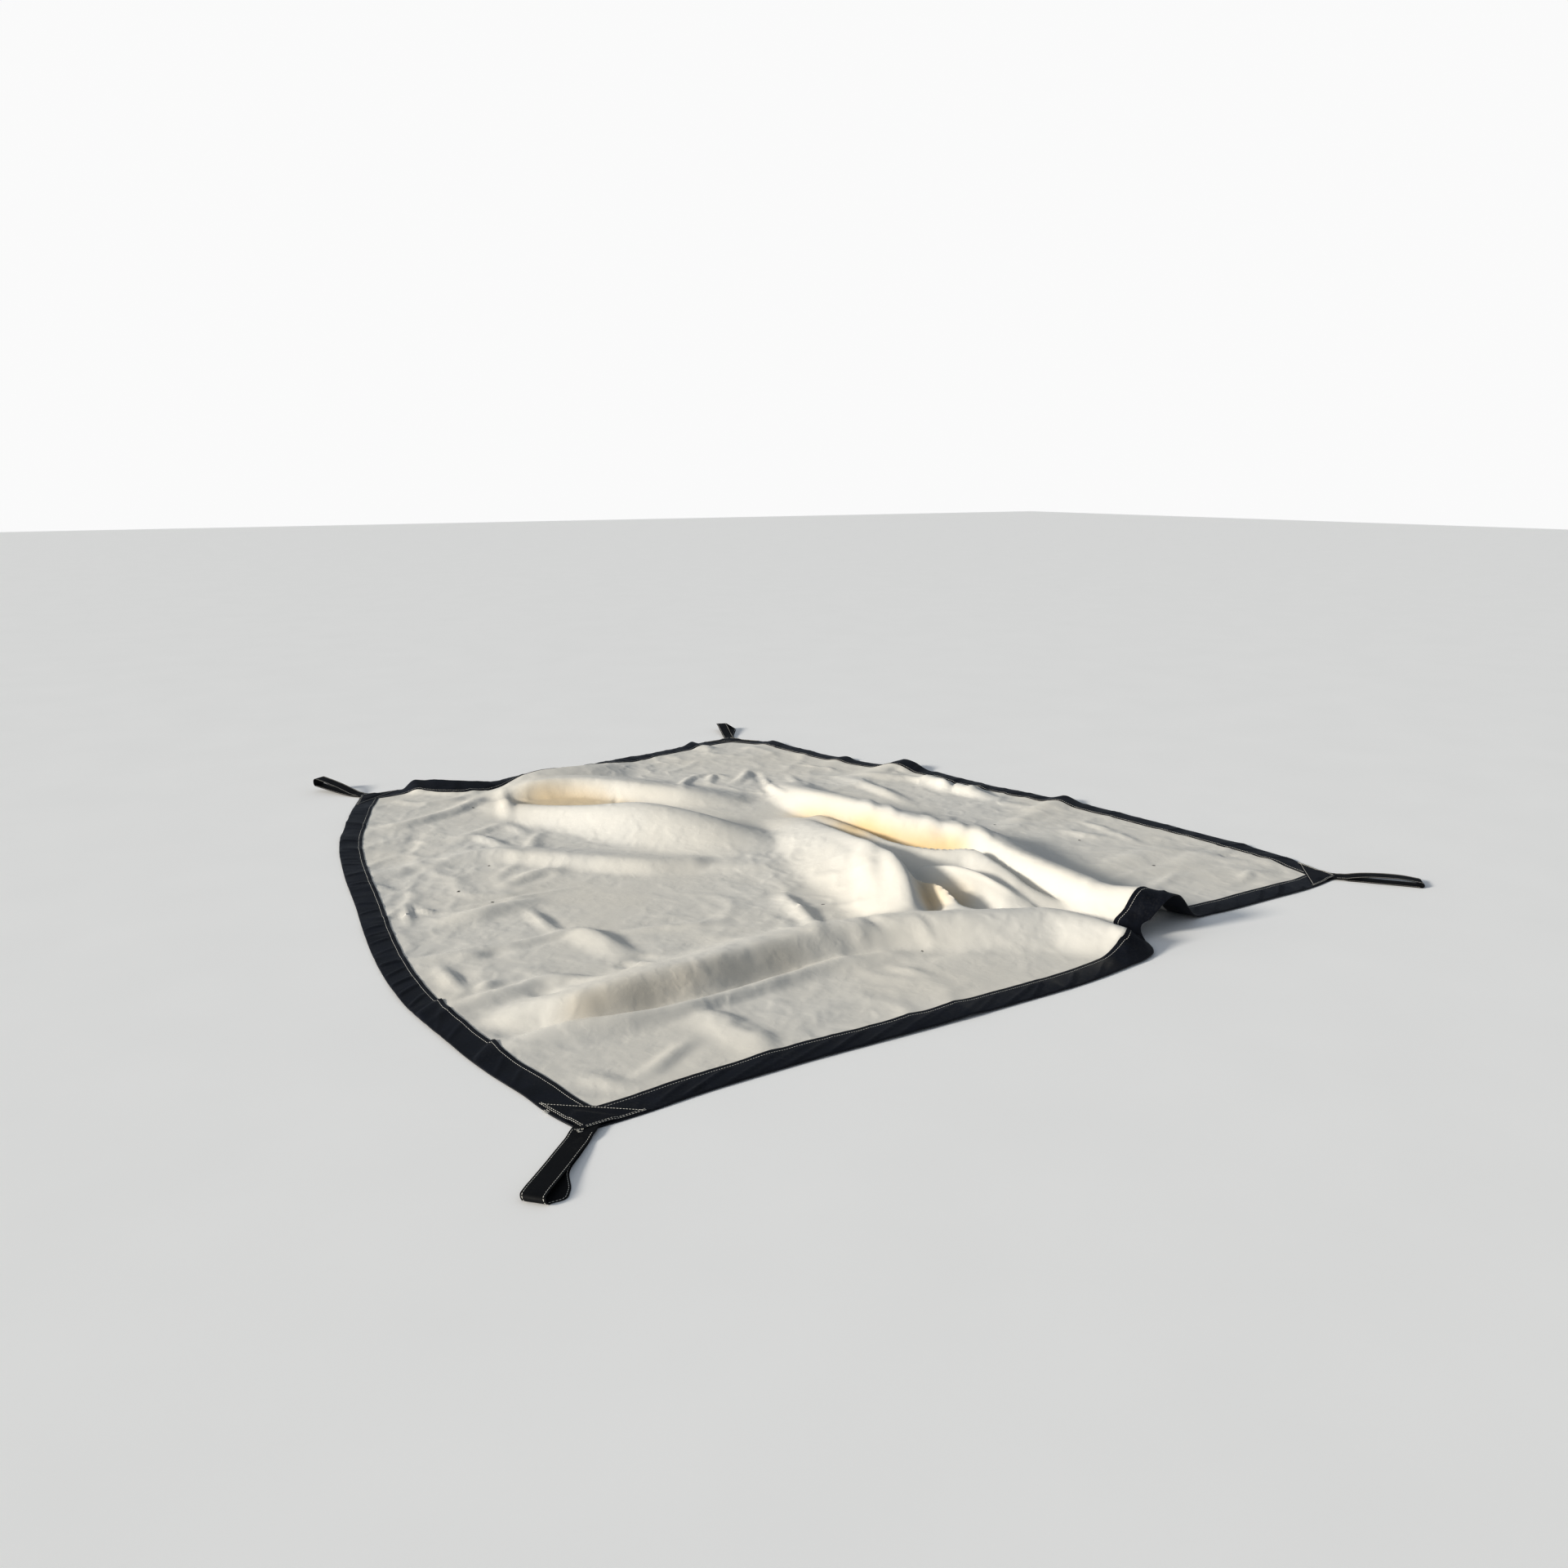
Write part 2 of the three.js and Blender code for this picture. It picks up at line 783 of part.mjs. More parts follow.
// A loop is one strap that runs out along the ground, turns up at the tip and comes back.
function loopMesh(loop) {
  const skin = new Skin();
  const corner = CORNERS[loop.corner];
  const { ahead, aside } = loopAxes(loop);
  const turnAt = loop.rows[loop.rows.length - 1].at;
  const along = (column, r) => (r <= loop.rows[0].at ? 0 : through(loop.rows, "at", column, r));
  const lower = (r) => STRAP / 2 + STRAP_LIFT * (1 - ease(6, 34, r)) + Math.max(along("lift", r), 0);
  const upper = (r) => lower(r) + STRAP + GAP + Math.max(along("rise", r), 0);
  const stations = [-ROOT, -20, 6, 13, 20, 27, 34, 55, 80, 105, 130, 150, 170, 190, 210, turnAt];
  const path = stations.map((r) => ({ r, z: lower(r), left: along("splay", r) }));
  const bends = 8;
  const [low, high] = [lower(turnAt), upper(turnAt)];
  for (let i = 1; i < bends; i += 1) {
    const angle = (Math.PI * i) / bends;
    path.push({
      r: turnAt + (TURN - STRAP / 2) * Math.sin(angle),
      z: (low + high) / 2 - ((high - low) / 2) * Math.cos(angle),
      left: along("splay", turnAt) * (1 - ease(0, bends, i)),
    });
  }
  for (const r of stations.toReversed()) path.push({ r, z: upper(r), left: 0 });
  const last = path.length - 1;
  const rings = path.map((at, k) => {
    const before = path[Math.max(k - 1, 0)];
    const after = path[Math.min(k + 1, last)];
    const run = new THREE.Vector2(after.r - before.r, after.z - before.z).normalize();
    const outward = new THREE.Vector2(run.y, -run.x).multiplyScalar(STRAP / 2);
    const spot = (left, sign) => {
      const r = at.r + sign * outward.x;
      const flat = corner.clone().addScaledVector(ahead, r).addScaledVector(aside, at.left + left);
      return skin.add(new THREE.Vector3(flat.x, flat.y, at.z + sign * outward.y));
    };
    const half = STRAP_WIDTH / 2;
    return [spot(-half, 1), spot(half, 1), spot(half, -1), spot(-half, -1)];
  });
  for (let k = 0; k < last; k += 1) {
    for (let i = 0; i < 4; i += 1) {
      const n = (i + 1) % 4;
      skin.quad(rings[k][i], rings[k][n], rings[k + 1][n], rings[k + 1][i]);
    }
  }
  skin.quad(rings[0][3], rings[0][2], rings[0][1], rings[0][0]);
  skin.quad(rings[last][0], rings[last][1], rings[last][2], rings[last][3]);
  return skin.mesh(`loop_${loop.name}`, COLOURS.strap, 0.75);
}

const blanket = new THREE.Group();
blanket.name = "fire_containment_blanket";
blanket.add(clothMesh());
for (const side of ROUND) blanket.add(bindingMesh(side));
for (const loop of LOOPS) blanket.add(patchMesh(loop), loopMesh(loop));

// The origin is on the ground, under the middle of the whole.
const middle = new THREE.Box3().setFromObject(blanket).getCenter(new THREE.Vector3());
for (const mesh of blanket.children) mesh.geometry.translate(-middle.x, -middle.y, 0);

export default blanket;
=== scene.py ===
import math
import random

import bpy
import numpy as np
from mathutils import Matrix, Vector, noise


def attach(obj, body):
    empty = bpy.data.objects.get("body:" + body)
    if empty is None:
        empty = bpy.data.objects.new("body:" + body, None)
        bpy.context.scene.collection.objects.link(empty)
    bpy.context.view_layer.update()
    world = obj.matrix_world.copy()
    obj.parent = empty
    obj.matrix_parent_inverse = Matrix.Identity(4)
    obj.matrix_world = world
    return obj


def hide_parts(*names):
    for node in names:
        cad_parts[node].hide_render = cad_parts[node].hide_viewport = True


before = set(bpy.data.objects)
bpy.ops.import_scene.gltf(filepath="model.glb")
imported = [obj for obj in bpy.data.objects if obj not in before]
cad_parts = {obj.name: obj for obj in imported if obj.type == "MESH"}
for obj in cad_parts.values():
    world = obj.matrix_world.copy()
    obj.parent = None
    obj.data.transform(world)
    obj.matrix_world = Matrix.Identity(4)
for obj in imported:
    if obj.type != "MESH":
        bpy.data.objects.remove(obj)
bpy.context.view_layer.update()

# A near-square sheet of coated cloth lying in folds on the ground, in metres. Tape is folded
# over its edges, a patch covers each corner, and a strap loop comes out from each patch.
# Corners: F front left, R front right, B back right, L back left.

MIDDLE = np.array((0.020854, 0.063100))  # the frame's origin among the corners below
CUT = np.array((2.90, 2.95))  # the sheet as it was cut

# Thicknesses, widths and places of stitches.
CLOTH = 0.0015
TAPE = 0.0010
GAP = 0.0003
BAND = 0.075  # width of the tape on each face
SEAM = 0.064  # the tape's line of stitches, from its fold
ROUND = 0.0003  # how far an edge of the tape is rounded
MITRE = 0.00025  # each end of a tape stops this short of the mitre
STRAP = 0.0014
STRAP_WIDTH = 0.050
STRAP_SEAM = 0.0205  # a strap's lines of stitches, from its middle
ROOT = 0.048  # length of strap tucked in under its patch
TURN = 0.010  # length of the turn at the tip of a loop
PATCH_LEG = 0.148
PATCH_INSET = 0.002
PATCH_RIM = 0.75  # share of its thickness that a patch has at its edge
# Lines of stitches, in from a patch's first leg, its long side and its last leg.
PATCH_SEAMS = ((0.003, 0.0075), (0.005,), (0.003, 0.0075))
STITCH = 0.0052
STITCH_PITCH = 0.0066
THREAD = 0.0014
THREAD_FLAT = 0.75  # a stitch is pressed to this share of its thread

# Heights of the layers at the edges, above the line that the cloth follows.
UNDER_TAPE = TAPE + GAP
OVER_CLOTH = UNDER_TAPE + CLOTH + GAP
OVER_TAPE = OVER_CLOTH + TAPE
STRAP_LIFT = OVER_TAPE + GAP
PATCH_LIFT = 2 * (STRAP + GAP)

# How folds and creases meet, rise and end.
MEET = 4  # how sharply folds that cross keep their own crests
RISING = 0.058  # past the flat round a corner, the folds come up over this
CREASE_END = 0.25  # share of its height that a crease has at its ends
TAUT = (0.015, 0.050)  # between these heights, folds draw the cloth taut
TAUT_LOSS = 0.6  # share of its unevenness that taut cloth loses

# Unevenness of loose cloth, from noise with so many waves to a metre.
SWELL, SWELL_WAVES = 0.0040, (2.4, 1.7)  # waves, then the layer of the noise
SWELL_MEAN, SWELL_LEAST = 0.0014, 0.0007
GATHER, GATHER_WAVES = 1.3, (1.9, 6.4)  # small creases gather in patches
GATHER_MEAN, GATHER_LEAST = 0.55, 0.12
# Two sizes of small crease. Rows: height, sharpness, waves, layer of the noise.
CRUMPLES = ((0.0050, 3.0, 4.6, 9.1), (0.0022, 3.2, 10.5, 4.2))

# Cells and steps of the meshes.
# The sheet, as (until this share, cells): across from left to right, along from front to back.
ACROSS = ((0.10, 20), (0.45, 62), (0.72, 80), (1.0, 50))
ALONG = ((0.25, 66), (0.50, 64), (0.75, 52), (1.0, 42))
RAISED_CELLS = 4  # the sheet comes up to the tape over this many
CREST_STEPS = 120
CREASE_STEPS = 24
SLOPE_STEP = 0.002
SIDE_STEP = 0.03
MITRE_FADE = 0.1  # share of an edge over which its inner line bends to the mitre
TAPE_STEP = 0.006  # length between two sections of tape
PATCH_CELLS = 30
PATCH_SEAM_POINTS = 60
PATCH_SEAM_ENDS = (0.05, 0.95)
ROOT_STEPS = 10
LOOP_STEPS = 46
BENDS = 14
LOOP_SEAM_START = 8  # stations between the root's end and the first stitch
SHARP = math.radians(50)
TINY = 1e-9

# The tape's section, once round from the lip of its top leaf. Rows: inset from the fold, lift.
LIP_IN = BAND - ROUND
LEAF = (
    0.071, SEAM + 0.0015, SEAM, SEAM - 0.0015, 0.057, 0.050, 0.043,
    0.036, 0.029, 0.022, 0.015, 0.009, 0.004,
)
TOP_LEAF = [(BAND, OVER_TAPE - ROUND), (LIP_IN, OVER_TAPE), *((inset, OVER_TAPE) for inset in LEAF)]
OUTER_FOLD = [
    (0.0010, OVER_TAPE - 0.0001), (ROUND, OVER_TAPE - 0.0006), (0, OVER_TAPE * 0.65),
    (0, OVER_TAPE * 0.3), (ROUND, 0.0006), (0.0010, 0.0001),
]
LOW_LEAF = [
    (0.003, 0), (0.03, 0), (LIP_IN, 0), (BAND, ROUND),
    (BAND, TAPE - ROUND), (LIP_IN, TAPE), (0.03, TAPE), (0.003, TAPE),
]
INNER_FOLD = [
    (0.0012, TAPE + ROUND), (TAPE, TAPE + 0.0007),
    (TAPE, OVER_CLOTH - 0.0007), (0.0012, OVER_CLOTH - ROUND),
]
INSIDE_LEAF = [
    *((inset, OVER_CLOTH) for inset in reversed(LEAF)),
    (LIP_IN, OVER_CLOTH), (BAND, OVER_CLOTH + ROUND),
]

# How the tape's top leaf stands off. Noise along the tape is given as waves to a metre.
TAPE_NOISE = {"front": 5, "right": 5, "back": 4, "left": 4}  # row of the noise for each side
FREE_TAPE = (0.135, 0.185)  # flat as far as the first from a corner, free past the second
WRINKLE_FADE = 0.012  # a wrinkle fades over this at the fold and at the seam
WRINKLE_STEEP, PLEAT_STEEP = 0.55, 0.12  # width of the far side, as a share of the near side
# Where a drawn wrinkle falls in its share of the edge, and how its height and width vary.
PLACE_RANGE, HEIGHT_RANGE, WIDTH_RANGE = (0.1, 0.9), (0.4, 1.2), (0.7, 1.4)
PLEAT_SEWN = 0.35  # share of a pleat's height that stays at the seam
PLEAT_HEIGHT = 0.005
PLEAT_WIDENS = 0.11  # share of the tape's width that a pleat adds
PUFF, PUFF_WAVES, PUFF_LAYER = 0.0012, 5.0, 0.3
LIP, LIP_WAVES, LIP_LAYER = 0.0003, 38.0, 7.0
WAVER, WAVER_WAVES, WAVER_LAYER = 0.020, 14.0, 3.0  # as a share of the tape's width

# Where a patch comes down to the tape: out from the strap's side, and past the strap's root.
BESIDE_STRAP = (STRAP_WIDTH / 2 + 0.014, STRAP_WIDTH / 2 + 0.027)
PAST_ROOT = (ROOT + 0.012, ROOT + 0.024)
OFF_TAPE = (0.006, 0.034)  # between these, a strap comes down from the tape to the ground

# Half of a strap's section. Rows: offset from its middle, share of its thickness.
HALF_STRAP = (
    (0, 1), (0.010, 1), (0.019, 1), (STRAP_SEAM, 0.85), (0.022, 1), (0.0245, 1), (0.025, 0.35),
)

# How stitches stray, and how they sit.
STITCH_STRAY = 0.0004
STITCH_SLANT = 0.06
STITCH_RISE = 0.0001
STITCH_LOOK = 0.002  # a stitch points along the seam as far as this to each side

# Frayed ends of thread. Rows: x, y, height, heading, count.
FRAYED = {
    "patch_front_stitches": [(-1.331, -1.314, 0.0058, 195, 9), (-1.302, -1.417, 0.0092, 235, 8)],
}
FRAY_RINGS = 6
FRAY_SIDES = 5
FRAY_RADIUS = 0.00045
FRAY_FAN = 60  # degrees to each side of the heading
FRAY_CURL = 1.4
FRAY_LENGTH = (0.007, 0.014)
FRAY_START = (0.003, 0.006)  # how far the starts are strewn
FRAY_RISE = 0.003

# How the painted warm shade spreads, in hollows and on the front ridge's shaded face, on the cells
# of the sheet.
HOLLOW_CELLS = 12  # a hollow is filled over this many to measure its depth
HOLLOW_DEPTH = (0.001, 0.014)
TINT_BLUR = 6
WARM_SHADE_CORE = 0.3  # share of the reach that has the full tint
FACE_SHADE_CORE = 0.2

# Colours.
CREAM = (0.755, 0.725, 0.66, 1)
GREY_CREAM = (0.715, 0.70, 0.66, 1)
FADED_CREAM = (0.60, 0.58, 0.54, 1)
# Painted warm shade: the warm cast of shaded hollows and of the front ridge's shaded face.
WARM_SHADE_COLOUR = (0.76, 0.575, 0.32, 1)
SPECK = (0.05, 0.045, 0.04, 1)
SPECK_HEIGHT = 0.004
TAPE_BLACK = (0.0040, 0.0052, 0.0090, 1)
PATCH_BLACK = (0.0036, 0.0046, 0.0078, 1)
STRAP_BLACK = (0.0022, 0.0026, 0.0036, 1)
PAINTED_SHEEN = 2.0  # painted sheen: tape is lighter in patches by this
DUST = (0.16, 0.15, 0.135, 1)
THREAD_WHITE = (0.80, 0.78, 0.72, 1)
THREAD_GRIME = (0.42, 0.38, 0.31, 1)
FLOOR_PALE = (0.93, 0.93, 0.93, 1)
FLOOR_PALER = (0.96, 0.96, 0.96, 1)

CORNERS = {
    "F": np.array((-1.300, -1.417)),
    "R": np.array((1.340, -1.311)),
    "B": np.array((0.673, 1.503)),
    "L": np.array((-1.110, 1.377)),
}

# The two edges that meet at each corner.
MEETING = {
    "F": ("front", "left"),
    "R": ("right", "front"),
    "B": ("back", "right"),
    "L": ("left", "back"),
}

# Round each corner the cloth lies flat as far as this.
FLAT = {"F": 0.152, "R": 0.152, "B": 0.180, "L": 0.162}

# Each edge runs between two corners. Rows: share of the edge, bow out from the straight line.
EDGES = {
    "front": {
        "ends": ("F", "R"),
        "outward": -1,
        "bow": [
            (0, 0.000), (0.05, 0.006), (0.1, 0.005), (0.15, 0.011), (0.21, 0.022), (0.28, 0.041),
            (0.35, 0.059), (0.42, 0.074), (0.52, 0.090), (0.58, 0.084), (0.61, 0.077),
            (0.628, 0.057), (0.638, 0.022), (0.646, -0.026), (0.66, -0.023), (0.69, -0.018),
            (0.75, -0.030), (0.8, -0.015), (0.86, -0.004), (0.95, 0.010), (1, 0.000),
        ],
    },
    "right": {
        "ends": ("R", "B"),
        "outward": -1,
        "bow": [
            (0, 0.000), (0.05, 0.062), (0.1, 0.100), (0.15, 0.126), (0.2, 0.138), (0.26, 0.155),
            (0.33, 0.167), (0.41, 0.168), (0.45, 0.158), (0.54, 0.156), (0.6, 0.165), (0.66, 0.156),
            (0.71, 0.104), (0.76, 0.088), (0.8, 0.078), (0.86, 0.088), (0.92, 0.084),
            (0.965, 0.048), (1, 0.000),
        ],
    },
    "back": {
        "ends": ("L", "B"),
        "outward": 1,
        "bow": [
            (0, 0.000), (0.045, -0.010), (0.09, -0.004), (0.14, -0.046), (0.175, -0.112),
            (0.22, -0.168), (0.27, -0.182), (0.31, -0.150), (0.38, -0.130), (0.47, -0.105),
            (0.57, -0.090), (0.7, -0.066), (0.85, -0.022), (0.93, 0.004), (1, 0.000),
        ],
    },
    "left": {
        "ends": ("F", "L"),
        "outward": 1,
        "bow": [
            (0, 0.000), (0.03, 0.036), (0.065, 0.064), (0.12, 0.114), (0.195, 0.166), (0.27, 0.208),
            (0.35, 0.224), (0.44, 0.223), (0.54, 0.210), (0.63, 0.203), (0.69, 0.193),
            (0.74, 0.181), (0.79, 0.160), (0.845, 0.123), (0.9, 0.084), (0.94, 0.053), (1, 0.000),
        ],
    },
}

# Folds. Rows: x, y, height, and the width to the right and left of the crest.
FOLDS = {
    "front_ridge": [
        (-1.270, -0.880, 0.012, 0.070, 0.090),
        (-1.195, -0.895, 0.036, 0.082, 0.130),
        (-1.125, -0.925, 0.054, 0.092, 0.160),
        (-1.035, -0.935, 0.064, 0.096, 0.190),
        (-0.910, -0.930, 0.069, 0.098, 0.205),
        (-0.805, -0.940, 0.070, 0.098, 0.215),
        (-0.625, -0.920, 0.067, 0.098, 0.215),
        (-0.420, -0.920, 0.066, 0.098, 0.215),
        (-0.270, -0.940, 0.066, 0.100, 0.205),
        (-0.125, -0.980, 0.066, 0.124, 0.190),
        (0.000, -1.040, 0.066, 0.150, 0.180),
        (0.125, -1.100, 0.066, 0.170, 0.170),
        (0.230, -1.165, 0.066, 0.170, 0.150),
        (0.278, -1.265, 0.064, 0.140, 0.120),
        (0.304, -1.355, 0.060, 0.075, 0.080),
    ],
    "front_ripple": [
        (-1.330, -1.010, 0.004, 0.070, 0.060),
        (-1.275, -1.005, 0.012, 0.080, 0.060),
        (-1.175, -1.000, 0.022, 0.100, 0.048),
        (-1.050, -1.035, 0.021, 0.068, 0.045),
        (-0.925, -1.050, 0.017, 0.048, 0.042),
        (-0.795, -1.050, 0.015, 0.042, 0.040),
        (-0.600, -1.040, 0.015, 0.048, 0.040),
        (-0.430, -1.022, 0.015, 0.075, 0.040),
        (-0.290, -1.045, 0.010, 0.070, 0.045),
        (-0.205, -1.060, 0.004, 0.065, 0.050),
    ],
    "tall_ridge": [
        (0.375, 0.515, 0.030, 0.120, 0.200),
        (0.340, 0.220, 0.076, 0.120, 0.220),
        (0.365, 0.040, 0.088, 0.125, 0.240),
        (0.415, -0.335, 0.098, 0.125, 0.260),
        (0.490, -0.545, 0.096, 0.110, 0.260),
        (0.455, -0.745, 0.094, 0.105, 0.240),
        (0.450, -0.980, 0.092, 0.115, 0.220),
        (0.435, -1.175, 0.104, 0.140, 0.190),
        (0.475, -1.260, 0.114, 0.130, 0.170),
        (0.525, -1.320, 0.104, 0.115, 0.150),
        (0.570, -1.410, 0.096, 0.115, 0.150),
    ],
    "dune": [
        (0.170, 0.060, 0.030, 0.220, 0.110),
        (0.135, -0.085, 0.060, 0.240, 0.110),
        (0.100, -0.385, 0.084, 0.260, 0.110),
        (0.065, -0.620, 0.095, 0.250, 0.095),
        (0.015, -0.755, 0.090, 0.220, 0.085),
        (-0.060, -0.880, 0.066, 0.170, 0.075),
    ],
    "valley_lip": [
        (0.235, 0.040, 0.040, 0.120, 0.090),
        (0.235, -0.220, 0.052, 0.130, 0.090),
        (0.235, -0.460, 0.058, 0.140, 0.080),
        (0.310, -0.590, 0.066, 0.150, 0.065),
        (0.365, -0.650, 0.074, 0.150, 0.060),
        (0.365, -0.770, 0.068, 0.150, 0.060),
        (0.330, -0.960, 0.052, 0.140, 0.060),
        (0.355, -1.100, 0.030, 0.110, 0.070),
    ],
    "pocket": [
        (0.090, -0.720, 0.044, 0.060, 0.060),
        (0.085, -0.825, 0.046, 0.060, 0.060),
        (0.080, -0.920, 0.024, 0.060, 0.060),
    ],
    "lobe": [
        (0.185, -0.645, 0.054, 0.080, 0.060),
        (0.215, -0.745, 0.070, 0.090, 0.060),
        (0.245, -0.860, 0.064, 0.100, 0.070),
        (0.255, -0.975, 0.044, 0.100, 0.080),
        (0.255, -1.060, 0.024, 0.090, 0.080),
    ],
    "back_ridge": [
        (-0.580, 1.050, 0.030, 0.080, 0.200),
        (-0.485, 1.020, 0.056, 0.075, 0.280),
        (-0.365, 0.960, 0.064, 0.075, 0.320),
        (-0.255, 0.855, 0.066, 0.080, 0.320),
        (-0.140, 0.710, 0.062, 0.090, 0.280),
        (-0.005, 0.580, 0.048, 0.100, 0.240),
        (0.090, 0.520, 0.024, 0.100, 0.200),
    ],
    "slope_ridge": [
        (-0.690, 0.905, 0.010, 0.110, 0.090),
        (-0.605, 0.735, 0.036, 0.125, 0.110),
        (-0.480, 0.510, 0.074, 0.145, 0.140),
        (-0.335, 0.354, 0.100, 0.225, 0.170),
        (-0.225, 0.210, 0.086, 0.240, 0.190),
        (-0.130, 0.080, 0.054, 0.225, 0.190),
        (-0.050, -0.030, 0.020, 0.190, 0.170),
        (0.010, -0.110, 0.004, 0.150, 0.150),
    ],
    "low_fold": [
        (-1.290, 0.355, 0.004, 0.060, 0.090),
        (-1.090, 0.345, 0.011, 0.065, 0.110),
        (-0.920, 0.320, 0.022, 0.070, 0.140),
        (-0.705, 0.130, 0.032, 0.080, 0.160),
        (-0.600, 0.025, 0.034, 0.080, 0.165),
        (-0.495, -0.065, 0.032, 0.080, 0.165),
        (-0.400, -0.110, 0.020, 0.070, 0.150),
    ],
    "back_swell": [
        (-0.520, 1.225, 0.024, 0.200, 0.070),
        (-0.410, 1.215, 0.044, 0.240, 0.100),
        (-0.300, 1.215, 0.044, 0.250, 0.110),
        (-0.190, 1.225, 0.036, 0.250, 0.110),
        (-0.070, 1.270, 0.010, 0.200, 0.080),
    ],
    "standing_hem": [
        (-1.090, 1.370, 0.004, 0.080, 0.080),
        (-1.030, 1.358, 0.022, 0.080, 0.080),
        (-0.950, 1.368, 0.044, 0.085, 0.085),
        (-0.865, 1.325, 0.043, 0.085, 0.085),
        (-0.757, 1.245, 0.042, 0.085, 0.085),
        (-0.640, 1.205, 0.026, 0.075, 0.075),
        (-0.585, 1.240, 0.008, 0.060, 0.060),
    ],
    "right_bump": [
        (1.180, 0.570, 0.036, 0.075, 0.140),
        (1.050, 0.580, 0.035, 0.075, 0.140),
        (0.900, 0.560, 0.020, 0.100, 0.130),
        (0.700, 0.500, 0.006, 0.120, 0.120),
    ],
    "right_ripple": [
        (1.300, -0.190, 0.018, 0.080, 0.090),
        (1.180, -0.220, 0.014, 0.080, 0.090),
        (1.020, -0.260, 0.004, 0.080, 0.090),
    ],
    "right_dimple": [
        (0.940, 0.845, 0.012, 0.060, 0.060),
        (0.860, 0.830, 0.009, 0.060, 0.060),
        (0.780, 0.810, 0.002, 0.060, 0.060),
    ],
    "far_swell": [
        (0.840, 1.300, 0.009, 0.090, 0.090),
        (0.720, 1.270, 0.006, 0.090, 0.090),
        (0.620, 1.240, 0.002, 0.080, 0.080),
    ],
    "back_bump": [
        (0.440, 1.520, 0.015, 0.070, 0.070),
        (0.465, 1.420, 0.013, 0.080, 0.080),
        (0.485, 1.330, 0.003, 0.080, 0.080),
    ],
    "right_knoll": [
        (1.000, 0.330, 0.018, 0.060, 0.070),
        (0.985, 0.205, 0.028, 0.060, 0.080),
        (1.005, 0.095, 0.028, 0.060, 0.080),
        (1.030, -0.020, 0.008, 0.060, 0.070),
    ],
}

